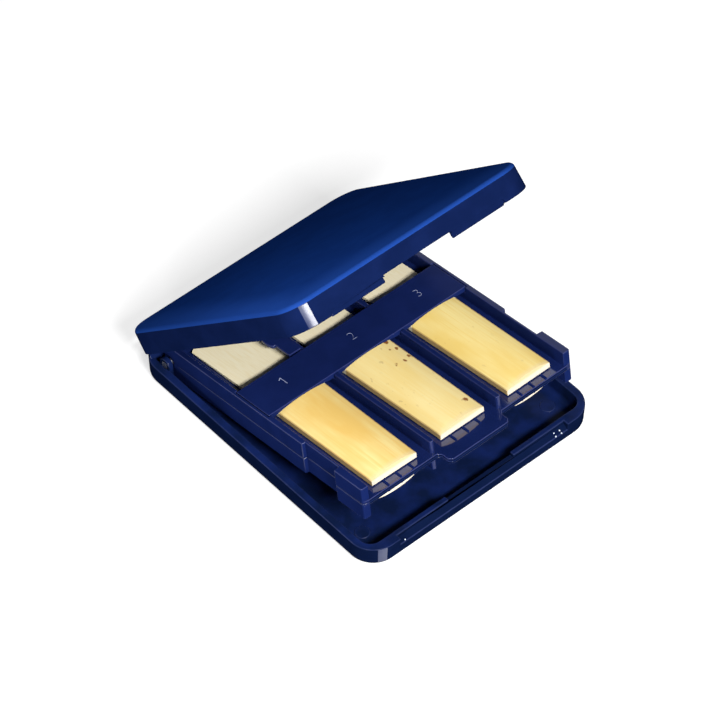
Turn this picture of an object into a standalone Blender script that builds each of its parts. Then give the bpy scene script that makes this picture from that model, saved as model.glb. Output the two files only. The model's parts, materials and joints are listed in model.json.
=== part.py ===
"""Flat hinged case for six woodwind reeds.

A shallow base and lid close around a double-sided tray. Each side of the tray
has three slots; a cross band holds the reeds down on fine rails. The tray turns
on two pins in the base, the lid on two pins in a round spine along the back.
Frame: +X along the opening edge, +Y towards the hinge, +Z up, origin at the
middle of the base's flat underside. The lid and the tray are drawn closed and
then turned to the angles at which the case stands open.
"""

import math

import bmesh
import bpy
from mathutils import Matrix, Vector

# Reeds, which set the slots, and so the tray and the case
REED_LENGTH = 0.0745
REED_HEEL_WIDTH = 0.0147
REED_TIP_WIDTH = 0.0164
REED_THICKNESS = 0.0029
REED_EDGE_THICKNESS = 0.0015
REED_ROUND_POWER = 2.4
REED_TIP_THICKNESS = 0.00040
REED_TIP_EDGE_THICKNESS = 0.00030
REED_BARK_LENGTH = 0.0375
REED_TIP_ROUND = 0.0030
REED_SEAT_GAP = 0.00005
REED_SIDE_ROOM = 0.0024
REED_HEEL_SET = 0.0027
REED_END_ROOM = 0.0022
UPPER_REED_OFFSETS = (-0.0002, 0.0002, 0.0003)
UPPER_REED_SKEWS = (-1.0, 0.0, 0.2)
UPPER_REED_SHIFTS = (0.0, 0.0, 0.0002)
LOWER_REED_OFFSETS = (-0.0003, 0.0004, -0.0005)
LOWER_REED_SHIFTS = (0.0006, 0.0003, 0.0003)
LOWER_REED_SKEWS = (0.3, 0.0, -0.3)

# Cross band
BAND_SET = 0.0382
BAND_DEPTH = 0.0129
BAND_CROWN_THICKNESS = 0.00055
BAND_REED_ROOM = 0.000475
BAND_FOOT_DEPTH = 0.0016
BAND_SEAT_GAP = 0.00025
BAND_ARCH_SET = 0.0016
BAND_LEDGE_WIDTH = 0.0008

# Tray, shared by its two halves
TRAY_SPLIT_GAP = 0.00015
TRAY_SIDE_WALL = 0.0016
TRAY_FRONT_STEP = 0.0007
WALL_FRONT_SET = 0.0004
WALL_CORNER = 0.0005
GRIP_SET = 0.0110
GRIP_LENGTH = 0.0129
GRIP_INSET = 0.0010
GRIP_RAMP = 0.0002
WEB_THICKNESS = 0.00075
REAR_WALL_THICKNESS = 0.0014
NOSE_CHAMFER_Y = 0.0028
NOSE_CHAMFER_Z = 0.0013
DIVIDER_WIDTH = 0.0014
DIVIDER_STEP = 0.0003
DIVIDER_FRONT_SET = 0.0009
DIVIDER_NOSE = 0.0004
TAB_HALF_WIDTH = 0.0102
TAB_REACH = 0.0044
TAB_CORNER = 0.0010
RAIL_WIDTH = 0.0005
RAIL_RISE = 0.00035
RAIL_PITCH = 0.0042
RAIL_FRONT_SET = 0.0002
RAIL_REAR_SET = 0.0055
EDGE_BREAK = 0.0003

# Lug on the first divider of the upper half, a stem with a wider head
LUG_REACH = 0.0039
LUG_SET = 0.0008
LUG_STEM_LENGTH = 0.0057
LUG_HEAD_LENGTH = 0.0053
LUG_HEAD_BULGE = 0.0013
LUG_HEAD_SLOPE = 0.0014
LUG_THICKNESS = 0.0009

# Room round the tray in the closed case
TRAY_SIDE_ROOM = 0.0012
TRAY_FRONT_ROOM = 0.0025
TRAY_REAR_ROOM = 0.0038
TRAY_FLOOR_ROOM = 0.00055
TRAY_ROOF_ROOM = 0.0004

# Base shell
CORNER_RADIUS = 0.0075
BASE_HEIGHT = 0.0062
PARTING_GAP = 0.00015
WALL_DRAFT = 0.0002
BASE_FLOOR = 0.0012
BASE_SIDE_WALL = 0.0023
BASE_FRONT_WALL = 0.0032
BASE_REAR_WALL = 0.0019
BASE_BAY_CORNER = 0.0034
BASE_EDGE_RADIUS = 0.0014
BASE_COVE_RADIUS = 0.0012
RIM_ROUND = 0.00025
LEDGE_END_SET = 0.0103
LEDGE_DEPTH = 0.0017
LEDGE_INNER_DROP = 0.0012
LEDGE_OUTER_DROP = 0.0024
TAB_NOTCH_ROOM = 0.0010
TAB_NOTCH_DROP = 0.0011
PAD_RADIUS = 0.0021
PAD_RISE = 0.00015
PAD_SIDE_SET = 0.0070
PAD_FRONT_SET = 0.0111

# Lid shell
LID_WALL = 0.0016
LID_ROOF = 0.00115
LID_EDGE_RADIUS = 0.0013
LID_COVE_RADIUS = 0.0009
TONGUE_END_ROOM = 0.0003
TONGUE_DROP = 0.0003
TONGUE_RECESS = 0.0006
TONGUE_RECESS_HEIGHT = 0.0015
LATCH_CLEARANCE = 0.00025
LID_NOTCH_HEIGHT = 0.0017
LID_OPEN_ANGLE = 44.0

# Lid hinge
HINGE_DROP = 0.0012
SPINE_RADIUS = 0.0024
SPINE_SET = 0.0001
HINGE_CLEARANCE = 0.0003
LID_REAR_CUT_ROOM = 0.0008
EAR_SET = 0.0111
EAR_WIDTH = 0.0028
EAR_NECK_RISE = 0.0013
HINGE_PIN_RADIUS = 0.0008
HINGE_PIN_INNER_GRIP = 0.0029
HINGE_PIN_OUTER_GRIP = 0.0027
HINGE_HOLE_RELIEF = 0.0004
PIN_CLEARANCE = 0.00010

# Tray pivot
PIVOT_SET = 0.0032
PIVOT_PIN_RADIUS = 0.0010
PIVOT_POST_ROOM = 0.0006
PIVOT_POST_SINK = 0.0002
PIVOT_POST_RADIUS = 0.0020
TRAY_LIFT_ANGLE = 8.7

# Facets
CORNER_STEPS = 8
FILLET_STEPS = 4
ROUND_STEPS = 32
REED_ARC_STEPS = 10
ARCH_STEPS = 12

# Widths, from the slots outwards
SLOT_WIDTH = REED_TIP_WIDTH + 2 * REED_SIDE_ROOM
SLOT_PITCH = SLOT_WIDTH + DIVIDER_WIDTH
TRAY_INNER_HALF_WIDTH = SLOT_PITCH + SLOT_WIDTH / 2
TRAY_REAR_HALF_WIDTH = TRAY_INNER_HALF_WIDTH + TRAY_SIDE_WALL
TRAY_FRONT_HALF_WIDTH = TRAY_REAR_HALF_WIDTH + TRAY_FRONT_STEP
BAY_HALF_WIDTH = TRAY_FRONT_HALF_WIDTH + TRAY_SIDE_ROOM
HALF_WIDTH = BAY_HALF_WIDTH + BASE_SIDE_WALL
BAND_ARCH_HALF_SPAN = SLOT_WIDTH / 2 - BAND_ARCH_SET
TAB_NOTCH_HALF_LENGTH = TAB_HALF_WIDTH + TAB_NOTCH_ROOM
LEDGE_HALF_LENGTH = HALF_WIDTH - LEDGE_END_SET
TONGUE_OUTER_X = LEDGE_HALF_LENGTH - TONGUE_END_ROOM
PAD_X = HALF_WIDTH - PAD_SIDE_SET
EAR_INNER_X = HALF_WIDTH - EAR_SET
HINGE_PIN_INNER_X = EAR_INNER_X - HINGE_PIN_INNER_GRIP
HINGE_PIN_OUTER_X = EAR_INNER_X + EAR_WIDTH + HINGE_PIN_OUTER_GRIP
PIVOT_POST_INNER_X = TRAY_REAR_HALF_WIDTH + PIVOT_POST_ROOM
PIVOT_POST_OUTER_X = BAY_HALF_WIDTH + PIVOT_POST_SINK

# Depths, from the reeds outwards
TRAY_DEPTH = REED_HEEL_SET + REED_LENGTH + REED_END_ROOM + REAR_WALL_THICKNESS
HALF_DEPTH = (
    BASE_FRONT_WALL + TRAY_FRONT_ROOM + TRAY_DEPTH + TRAY_REAR_ROOM + BASE_REAR_WALL
) / 2
TRAY_FRONT = -HALF_DEPTH + BASE_FRONT_WALL + TRAY_FRONT_ROOM
TRAY_REAR = TRAY_FRONT + TRAY_DEPTH
GRIP_FRONT = TRAY_FRONT + GRIP_SET
GRIP_REAR = GRIP_FRONT + GRIP_LENGTH
RAIL_REAR = TRAY_REAR - REAR_WALL_THICKNESS - RAIL_REAR_SET
BAND_FRONT = TRAY_FRONT + BAND_SET
BAND_REAR = BAND_FRONT + BAND_DEPTH
LUG_FRONT = BAND_REAR + LUG_SET
LUG_HEAD_FRONT = LUG_FRONT + LUG_STEM_LENGTH
LUG_HEAD_REAR = LUG_HEAD_FRONT + LUG_HEAD_LENGTH
PAD_Y = -HALF_DEPTH + PAD_FRONT_SET

# Heights, from the tray's middle plane to the lid's top
WEB_TOP = TRAY_SPLIT_GAP / 2 + WEB_THICKNESS
REED_BACK = WEB_TOP + RAIL_RISE + REED_SEAT_GAP
TRAY_HALF_HEIGHT = REED_BACK + REED_THICKNESS + BAND_REED_ROOM + BAND_CROWN_THICKNESS
TRAY_MID_HEIGHT = BASE_FLOOR + TRAY_FLOOR_ROOM + TRAY_HALF_HEIGHT
LID_TOP = TRAY_MID_HEIGHT + TRAY_HALF_HEIGHT + TRAY_ROOF_ROOM + LID_ROOF
LEDGE_INNER_HEIGHT = BASE_HEIGHT - LEDGE_INNER_DROP
LEDGE_OUTER_HEIGHT = BASE_HEIGHT - LEDGE_OUTER_DROP
TAB_NOTCH_HEIGHT = BASE_HEIGHT - TAB_NOTCH_DROP
TONGUE_RECESS_TOP = BASE_HEIGHT + TONGUE_RECESS_HEIGHT
LID_NOTCH_TOP = BASE_HEIGHT + LID_NOTCH_HEIGHT
HINGE = Vector((0, HALF_DEPTH - SPINE_RADIUS - SPINE_SET, BASE_HEIGHT - HINGE_DROP))
PIVOT = Vector((0, TRAY_REAR - PIVOT_SET, TRAY_MID_HEIGHT))
LID_REAR_CUT = HINGE.z + SPINE_RADIUS + LID_REAR_CUT_ROOM
EAR_NECK_TOP = LID_REAR_CUT + EAR_NECK_RISE


def clear_scene():
    for item in list(bpy.data.objects):
        bpy.data.objects.remove(item, do_unlink=True)


def plastic(name, colour, roughness, metallic=0.0):
    material = bpy.data.materials.new(name)
    material.use_nodes = True
    shader = material.node_tree.nodes["Principled BSDF"]
    shader.inputs["Base Color"].default_value = (*colour, 1.0)
    shader.inputs["Roughness"].default_value = roughness
    shader.inputs["Metallic"].default_value = metallic
    material.diffuse_color = (*colour, 1.0)
    return material


def new_object(name, mesh):
    item = bpy.data.objects.new(name, mesh)
    bpy.context.scene.collection.objects.link(item)
    return item


def mesh_object(name, points, faces):
    """One closed body from points and faces, with its normals set outwards."""
    mesh = bpy.data.meshes.new(name)
    mesh.from_pydata([tuple(p) for p in points], [], faces)
    shape = bmesh.new()
    shape.from_mesh(mesh)
    bmesh.ops.recalc_face_normals(shape, faces=shape.faces)
    shape.to_mesh(mesh)
    shape.free()
    return new_object(name, mesh)


def loft(name, loops):
    """A skin over loops of equally many points, closed by a face at each end."""
    count = len(loops[0])
    points = [point for loop in loops for point in loop]
    faces = []
    for row in range(len(loops) - 1):
        for i in range(count):
            j = (i + 1) % count
            here = row * count
            above = here + count
            faces.append((here + i, here + j, above + j, above + i))
    faces.append(tuple(reversed(range(count))))
    last = (len(loops) - 1) * count
    faces.append(tuple(range(last, last + count)))
    return mesh_object(name, points, faces)


def prism_x(name, profile, x0, x1):
    """A (y, z) profile drawn along X."""
    return loft(name, [[(x, y, z) for y, z in profile] for x in (x0, x1)])


def prism_y(name, profile, y0, y1):
    """An (x, z) profile drawn along Y."""
    return loft(name, [[(x, y, z) for x, z in profile] for y in (y0, y1)])


def prism_z(name, profile, z0, z1):
    """An (x, y) profile drawn along Z."""
    return loft(name, [[(x, y, z) for x, y in profile] for z in (z0, z1)])


def block(name, x0, x1, y0, y1, z0, z1):
    return prism_z(name, ((x0, y0), (x1, y0), (x1, y1), (x0, y1)), z0, z1)


def rod_x(name, centre_y, centre_z, radius, x0, x1, steps=ROUND_STEPS):
    turn = math.tau / steps
    ring = [
        (centre_y + radius * math.cos(turn * i), centre_z + radius * math.sin(turn * i))
        for i in range(steps)
    ]
    return prism_x(name, ring, x0, x1)


def combine(target, tools, operation):
    """Join, cut or intersect the target with each tool, and drop the tools."""
    for tool in tools:
        step = target.modifiers.new(operation.lower(), "BOOLEAN")
        step.operation = operation
        step.solver = "EXACT"
        step.object = tool
        bpy.context.view_layer.update()
        graph = bpy.context.evaluated_depsgraph_get()
        mesh = bpy.data.meshes.new_from_object(target.evaluated_get(graph))
        target.modifiers.clear()
        target.data = mesh
        bpy.data.objects.remove(tool, do_unlink=True)
    return target


def rounded_outline(x0, x1, y0, y1, radius, z):
    """A rectangle with round corners, counter-clockwise from the +X side."""
    points = []
    corners = ((x1, y1, 0), (x0, y1, 1), (x0, y0, 2), (x1, y0, 3))
    for x, y, quarter in corners:
        cx = x - math.copysign(radius, x - (x0 + x1) / 2)
        cy = y - math.copysign(radius, y - (y0 + y1) / 2)
        for i in range(CORNER_STEPS + 1):
            angle = math.pi / 2 * (quarter + i / CORNER_STEPS)
            points.append((cx + radius * math.cos(angle), cy + radius * math.sin(angle), z))
    return points


def case_outline(inset, z):
    return rounded_outline(
        -HALF_WIDTH + inset,
        HALF_WIDTH - inset,
        -HALF_DEPTH + inset,
        HALF_DEPTH - inset,
        CORNER_RADIUS - inset,
        z,
    )


def bay_outline(walls, corner, inset, z):
    """The inside of a shell, from its side, front and rear walls."""
    side, front, rear = walls
    return rounded_outline(
        -HALF_WIDTH + side + inset,
        HALF_WIDTH - side - inset,
        -HALF_DEPTH + front + inset,
        HALF_DEPTH - rear - inset,
        corner - inset,
        z,
    )


def quarter_steps(radius):
    """Inset and rise of a quarter round, from its flat end to its upright end."""
    for i in range(FILLET_STEPS + 1):
        angle = math.pi / 2 * i / FILLET_STEPS
        yield radius * (1 - math.sin(angle)), radius * (1 - math.cos(angle))


def finish(item, material, sharp_angle=30.0):
    item.data.materials.clear()
    item.data.materials.append(material)
    item.data.shade_smooth()
    item.data.set_sharp_from_angle(angle=math.radians(sharp_angle))
    return item


def hang_on(item, origin, turn):
    """Put the object's origin on its joint and turn it there about X."""
    item.data.transform(Matrix.Translation(-origin))
    item.location = origin
    item.rotation_euler = (-math.radians(turn), 0, 0)
    return item


def spine_profile(radius, front, low):
    """Section of the round spine: upright sides below, a half round on top."""
    half = ROUND_STEPS // 2
    arc = [
        (
            HINGE.y - radius * math.cos(math.pi * i / half),
            HINGE.z + radius * math.sin(math.pi * i / half),
        )
        for i in range(half + 1)
    ]
    return [(front, low)] + arc + [(HINGE.y + radius, low)]


# Base shell: a shallow dish with a thick front wall, a ledge for the lid's
# tongues, a round spine along the back and two posts for the tray's pins.
def make_base(material):
    loops = []
    for inset, rise in quarter_steps(BASE_EDGE_RADIUS):
        loops.append(case_outline(WALL_DRAFT + inset, rise))
    loops.append(case_outline(0, BASE_HEIGHT - RIM_ROUND))
    loops.append(case_outline(RIM_ROUND, BASE_HEIGHT))
    walls = (BASE_SIDE_WALL, BASE_FRONT_WALL, BASE_REAR_WALL)
    loops.append(bay_outline(walls, BASE_BAY_CORNER, -RIM_ROUND, BASE_HEIGHT))
    loops.append(bay_outline(walls, BASE_BAY_CORNER, 0, BASE_HEIGHT - RIM_ROUND))
    for inset, rise in reversed(list(quarter_steps(BASE_COVE_RADIUS))):
        loops.append(bay_outline(walls, BASE_BAY_CORNER, inset, BASE_FLOOR + rise))
    base = loft("base_shell", loops)

    # Round spine, kept inside the case's outline
    spine_top = HINGE.z + SPINE_RADIUS
    reach = HALF_WIDTH - BASE_SIDE_WALL / 2
    spine = prism_x(
        "spine",
        spine_profile(SPINE_RADIUS, HINGE.y - SPINE_RADIUS, BASE_FLOOR / 2),
        -reach,
        reach,
    )
    lower = case_outline(WALL_DRAFT + RIM_ROUND, 0)
    upper = case_outline(WALL_DRAFT, spine_top + BASE_FLOOR)
    combine(spine, [loft("outline", [lower, upper])], "INTERSECT")
    combine(base, [spine], "UNION")

    # Posts that carry the tray's pins, and the floor's two round pads
    for side in (-1, 1):
        xs = sorted((side * PIVOT_POST_INNER_X, side * PIVOT_POST_OUTER_X))
        half = ROUND_STEPS // 2
        profile = [
            (PIVOT.y - PIVOT_POST_RADIUS, BASE_FLOOR / 2),
            (PIVOT.y + PIVOT_POST_RADIUS, BASE_FLOOR / 2),
        ]
        profile += [
            (
                PIVOT.y + PIVOT_POST_RADIUS * math.cos(math.pi * i / half),
                PIVOT.z + PIVOT_POST_RADIUS * math.sin(math.pi * i / half),
            )
            for i in range(half + 1)
        ]
        pad_ring = [
            (
                side * PAD_X + PAD_RADIUS * math.cos(math.tau * i / ROUND_STEPS),
                PAD_Y + PAD_RADIUS * math.sin(math.tau * i / ROUND_STEPS),
            )
            for i in range(ROUND_STEPS)
        ]
        pad = prism_z("pad", pad_ring, BASE_FLOOR / 2, BASE_FLOOR + PAD_RISE)
        combine(base, [prism_x("post", profile, *xs), pad], "UNION")

    # Ledge that slopes down in front of the raised lips; the lips are lower in
    # the middle for the thumb tab
    front = -HALF_DEPTH
    over = BASE_HEIGHT + BASE_FLOOR
    ledge_profile = [
        (front - LEDGE_DEPTH, 2 * LEDGE_OUTER_HEIGHT - LEDGE_INNER_HEIGHT),
        (front + LEDGE_DEPTH, LEDGE_INNER_HEIGHT),
        (front + LEDGE_DEPTH, over),
        (front - LEDGE_DEPTH, over),
    ]
    ledge = prism_x("ledge", ledge_profile, -LEDGE_HALF_LENGTH, LEDGE_HALF_LENGTH)
    notch = block(
        "notch",
        -TAB_NOTCH_HALF_LENGTH,
        TAB_NOTCH_HALF_LENGTH,
        front - LEDGE_DEPTH,
        front + BASE_FRONT_WALL + LEDGE_DEPTH,
        TAB_NOTCH_HEIGHT,
        over,
    )
    combine(base, [ledge, notch], "DIFFERENCE")

    # Pockets for the lid's ears, holes for all four pins
    ear_outer_x = EAR_INNER_X + EAR_WIDTH
    clear_radius = SPINE_RADIUS + HINGE_CLEARANCE
    beyond = HALF_DEPTH + SPINE_RADIUS
    above = spine_top + BASE_FLOOR
    for side in (-1, 1):
        xs = sorted((side * (EAR_INNER_X - HINGE_CLEARANCE), side * (ear_outer_x + HINGE_CLEARANCE)))
        tools = [
            rod_x("round", HINGE.y, HINGE.z, clear_radius, *xs),
            block("behind", *xs, HINGE.y, beyond, HINGE.z - clear_radius, above),
            block("over", *xs, HINGE.y - clear_radius, beyond, HINGE.z, above),
        ]
        hole_xs = sorted(
            (
                side * (HINGE_PIN_INNER_X - HINGE_HOLE_RELIEF),
                side * (HINGE_PIN_OUTER_X + HINGE_HOLE_RELIEF),
            )
        )
        hole_radius = HINGE_PIN_RADIUS + PIN_CLEARANCE
        tools.append(rod_x("bore", HINGE.y, HINGE.z, hole_radius, *hole_xs))
        post_xs = sorted((side * TRAY_INNER_HALF_WIDTH, side * (PIVOT_POST_OUTER_X + WALL_DRAFT)))
        pivot_radius = PIVOT_PIN_RADIUS + PIN_CLEARANCE
        tools.append(rod_x("pivot", PIVOT.y, PIVOT.z, pivot_radius, *post_xs))
        combine(base, tools, "DIFFERENCE")
    return finish(base, material)


# Lid shell: the deeper half, with two set-back tongues that drop outside the
# base's raised lips and two ears that reach down into the spine.
def make_lid(material):
    rim = BASE_HEIGHT + PARTING_GAP
    top = LID_TOP
    loops = []
    walls = (LID_WALL, LID_WALL, LID_WALL)
    corner = CORNER_RADIUS - LID_WALL
    for inset, drop in quarter_steps(LID_EDGE_RADIUS):
        loops.append(case_outline(WALL_DRAFT + inset, top - drop))
    loops.append(case_outline(0, rim + RIM_ROUND))
    loops.append(case_outline(RIM_ROUND, rim))
    loops.append(bay_outline(walls, corner, -RIM_ROUND, rim))
    loops.append(bay_outline(walls, corner, 0, rim + RIM_ROUND))
    for inset, drop in reversed(list(quarter_steps(LID_COVE_RADIUS))):
        loops.append(bay_outline(walls, corner, WALL_DRAFT + inset, top - LID_ROOF - drop))
    lid = loft("lid_shell", loops)

    front = -HALF_DEPTH
    lip_face = front + LEDGE_DEPTH
    tongue_low = BASE_HEIGHT - TONGUE_DROP
    for side in (-1, 1):
        xs = sorted((side * TAB_NOTCH_HALF_LENGTH, side * TONGUE_OUTER_X))
        tongue = block(
            "tongue",
            *xs,
            front + TONGUE_RECESS + WALL_DRAFT,
            lip_face - LATCH_CLEARANCE,
            tongue_low,
            rim + LID_WALL,
        )
        combine(lid, [tongue], "UNION")
        recess = block(
            "recess",
            xs[0] - RIM_ROUND,
            xs[1] + RIM_ROUND,
            front - LEDGE_DEPTH,
            front + TONGUE_RECESS + WALL_DRAFT,
            tongue_low - WALL_DRAFT,
            TONGUE_RECESS_TOP,
        )
        combine(lid, [recess], "DIFFERENCE")
    notch = block(
        "notch",
        -TAB_NOTCH_HALF_LENGTH,
        TAB_NOTCH_HALF_LENGTH,
        front - LEDGE_DEPTH,
        front + LID_WALL + LEDGE_DEPTH,
        tongue_low - WALL_DRAFT,
        LID_NOTCH_TOP,
    )
    clear_radius = SPINE_RADIUS + HINGE_CLEARANCE
    wide = HALF_WIDTH + LID_WALL
    round_cut = rod_x("round", HINGE.y, HINGE.z, clear_radius, -wide, wide)
    rear_cut = block(
        "rear", -wide, wide, HINGE.y, HALF_DEPTH + SPINE_RADIUS, HINGE.z, LID_REAR_CUT
    )
    combine(lid, [notch, round_cut, rear_cut], "DIFFERENCE")

    rear_face = HALF_DEPTH - WALL_DRAFT - RIM_ROUND
    for side in (-1, 1):
        xs = sorted((side * EAR_INNER_X, side * (EAR_INNER_X + EAR_WIDTH)))
        disc = rod_x("disc", HINGE.y, HINGE.z, SPINE_RADIUS, *xs)
        neck = block("neck", *xs, HINGE.y - SPINE_RADIUS, rear_face, HINGE.z, EAR_NECK_TOP)
        combine(disc, [neck], "UNION")
        combine(lid, [disc], "UNION")
        hole_xs = (xs[0] - HINGE_CLEARANCE, xs[1] + HINGE_CLEARANCE)
        hole_radius = HINGE_PIN_RADIUS + PIN_CLEARANCE
        combine(lid, [rod_x("bore", HINGE.y, HINGE.z, hole_radius, *hole_xs)], "DIFFERENCE")
    finish(lid, material)
    return hang_on(lid, HINGE, LID_OPEN_ANGLE)


def tray_height(face, rise):
    """Height of a point that lies rise away from the tray's middle plane."""
    return TRAY_MID_HEIGHT + face * rise


def tray_block(name, face, x0, x1, y0, y1, low, high):
    zs = sorted((tray_height(face, low), tray_height(face, high)))
    return block(name, x0, x1, y0, y1, *zs)


# One half of the tray: a web, two side walls with finger grips, a rear wall,
# two dividers, rails under the reeds and half of the thumb tab.
def make_tray_half(name, face, material):
    low = TRAY_SPLIT_GAP / 2
    high = TRAY_HALF_HEIGHT
    grip_x = TRAY_REAR_HALF_WIDTH - GRIP_INSET
    wall_front = TRAY_FRONT + WALL_FRONT_SET
    sides = [
        (TRAY_FRONT_HALF_WIDTH, wall_front + WALL_CORNER),
        (TRAY_FRONT_HALF_WIDTH, GRIP_FRONT - GRIP_RAMP),
        (grip_x, GRIP_FRONT),
        (grip_x, GRIP_REAR),
        (TRAY_REAR_HALF_WIDTH, GRIP_REAR + GRIP_RAMP),
        (TRAY_REAR_HALF_WIDTH, TRAY_REAR - TAB_CORNER),
        (TRAY_REAR_HALF_WIDTH - TAB_CORNER, TRAY_REAR),
    ]
    right = [(TRAY_INNER_HALF_WIDTH + WALL_CORNER, TRAY_FRONT)] + sides
    tab_front = TRAY_FRONT - TAB_REACH
    tab = [
        (-TAB_HALF_WIDTH - TAB_CORNER, TRAY_FRONT),
        (-TAB_HALF_WIDTH, TRAY_FRONT - TAB_CORNER),
        (-TAB_HALF_WIDTH, tab_front + TAB_CORNER),
        (-TAB_HALF_WIDTH + TAB_CORNER, tab_front),
        (TAB_HALF_WIDTH - TAB_CORNER, tab_front),
        (TAB_HALF_WIDTH, tab_front + TAB_CORNER),
        (TAB_HALF_WIDTH, TRAY_FRONT - TAB_CORNER),
        (TAB_HALF_WIDTH + TAB_CORNER, TRAY_FRONT),
    ]
    left = [(-x, y) for x, y in reversed(right)]
    zs = sorted((tray_height(face, low), tray_height(face, WEB_TOP)))
    half = prism_z(name, tab + right + left, *zs)

    # Side walls, with the same outside as the web and their front ends rounded
    for side in (-1, 1):
        outer = [(side * (TRAY_FRONT_HALF_WIDTH - WALL_CORNER), wall_front)]
        outer += [(side * x, y) for x, y in sides]
        inner = [
            (side * TRAY_INNER_HALF_WIDTH, TRAY_REAR),
            (side * TRAY_INNER_HALF_WIDTH, wall_front + WALL_CORNER / 2),
            (side * (TRAY_INNER_HALF_WIDTH + WALL_CORNER / 2), wall_front),
        ]
        wall_zs = sorted((tray_height(face, low * 2), tray_height(face, high)))
        combine(half, [prism_z("wall", outer + inner, *wall_zs)], "UNION")

    parts = [
        tray_block(
            "rear",
            face,
            -TRAY_REAR_HALF_WIDTH + TAB_CORNER,
            TRAY_REAR_HALF_WIDTH - TAB_CORNER,
            TRAY_REAR - REAR_WALL_THICKNESS,
            TRAY_REAR - EDGE_BREAK / 2,
            low * 2,
            high - EDGE_BREAK / 2,
        )
    ]
    nose = TRAY_FRONT + DIVIDER_FRONT_SET
    divider_rear = TRAY_REAR - REAR_WALL_THICKNESS / 2
    for side in (-1, 1):
        x0 = side * SLOT_PITCH / 2 - DIVIDER_WIDTH / 2
        x1 = side * SLOT_PITCH / 2 + DIVIDER_WIDTH / 2
        divider_outline = [
            (x0, divider_rear),
            (x0, nose + DIVIDER_NOSE),
            (x0 + DIVIDER_NOSE, nose),
            (x1 - DIVIDER_NOSE, nose),
            (x1, nose + DIVIDER_NOSE),
            (x1, divider_rear),
        ]
        divider_zs = sorted((tray_height(face, low * 2), tray_height(face, high - DIVIDER_STEP)))
        parts.append(prism_z("divider", divider_outline, *divider_zs))
    for slot in (-1, 0, 1):
        for step in (-1, 0, 1):
            centre = slot * SLOT_PITCH + step * RAIL_PITCH
            parts.append(
                tray_block(
                    "rail",
                    face,
                    centre - RAIL_WIDTH / 2,
                    centre + RAIL_WIDTH / 2,
                    TRAY_FRONT + RAIL_FRONT_SET,
                    RAIL_REAR,
                    low * 2,
                    WEB_TOP + RAIL_RISE,
                )
            )
    if face > 0:
        root = -SLOT_PITCH / 2
        stem = root - LUG_REACH
        head = stem - LUG_HEAD_BULGE
        lug_outline = [
            (root, LUG_FRONT),
            (root, LUG_HEAD_REAR),
            (stem, LUG_HEAD_REAR),
            (head, LUG_HEAD_REAR - LUG_HEAD_SLOPE),
            (head, LUG_HEAD_FRONT + LUG_HEAD_SLOPE),
            (stem, LUG_HEAD_FRONT),
            (stem, LUG_FRONT),
        ]
        lug_zs = sorted(
            (
                tray_height(face, high - DIVIDER_STEP - LUG_THICKNESS),
                tray_height(face, high - DIVIDER_STEP / 2),
            )
        )
        parts.append(prism_z("lug", lug_outline, *lug_zs))
    combine(half, parts, "UNION")

    # Seats for the cross band: the dividers stop under it, the side walls
    # give way to it over a short step
    seat = high - BAND_FOOT_DEPTH - BAND_SEAT_GAP
    cuts = [
        tray_block(
            "band_seat",
            face,
            -TRAY_INNER_HALF_WIDTH - BAND_LEDGE_WIDTH,
            TRAY_INNER_HALF_WIDTH + BAND_LEDGE_WIDTH,
            BAND_FRONT - BAND_SEAT_GAP,
            BAND_REAR + BAND_SEAT_GAP,
            seat,
            high + EDGE_BREAK,
        )
    ]
    # Sloped tail so that the tray's end clears the floor and the lid as it turns
    edge = tray_height(face, high + EDGE_BREAK)
    slope_low = tray_height(face, high - NOSE_CHAMFER_Z)
    tail = TRAY_REAR + EDGE_BREAK
    tail_share = (tail - TRAY_REAR + NOSE_CHAMFER_Y) / NOSE_CHAMFER_Y
    tail_profile = [
        (TRAY_REAR - NOSE_CHAMFER_Y, tray_height(face, high)),
        (tail, tray_height(face, high) + (slope_low - tray_height(face, high)) * tail_share),
        (tail, edge),
        (TRAY_REAR - NOSE_CHAMFER_Y, edge),
    ]
    wide = TRAY_FRONT_HALF_WIDTH + EDGE_BREAK
    cuts.append(prism_x("tail", tail_profile, -wide, wide))
    for side in (-1, 1):
        xs = sorted((side * (TRAY_INNER_HALF_WIDTH - EDGE_BREAK), side * wide))
        hole_radius = PIVOT_PIN_RADIUS + PIN_CLEARANCE
        cuts.append(rod_x("pivot", PIVOT.y, PIVOT.z, hole_radius, *xs))
    combine(half, cuts, "DIFFERENCE")
    finish(half, material)
    return hang_on(half, PIVOT, TRAY_LIFT_ANGLE)


# Cross band: a plate level with the tray's walls, hollowed in an arch over
# each reed, with its feet on the dividers and on the side walls' steps.
def make_band(name, face, material):
    high = TRAY_HALF_HEIGHT
    end = TRAY_INNER_HALF_WIDTH + BAND_LEDGE_WIDTH - BAND_SEAT_GAP
    foot = high - BAND_FOOT_DEPTH
    crown = high - BAND_CROWN_THICKNESS
    profile = [(-end, foot)]
    for slot in (-1, 0, 1):
        centre = slot * SLOT_PITCH
        for i in range(ARCH_STEPS + 1):
            share = 2 * i / ARCH_STEPS - 1
            rise = (crown - foot) * (1 - share * share)
            profile.append((centre + share * BAND_ARCH_HALF_SPAN, foot + rise))
    profile += [
        (end, foot),
        (end, high - EDGE_BREAK / 2),
        (end - EDGE_BREAK / 2, high),
        (-end + EDGE_BREAK / 2, high),
        (-end, high - EDGE_BREAK / 2),
    ]
    band = prism_y(name, [(x, tray_height(face, z)) for x, z in profile], BAND_FRONT, BAND_REAR)
    finish(band, material)
    return hang_on(band, PIVOT, TRAY_LIFT_ANGLE)


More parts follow.
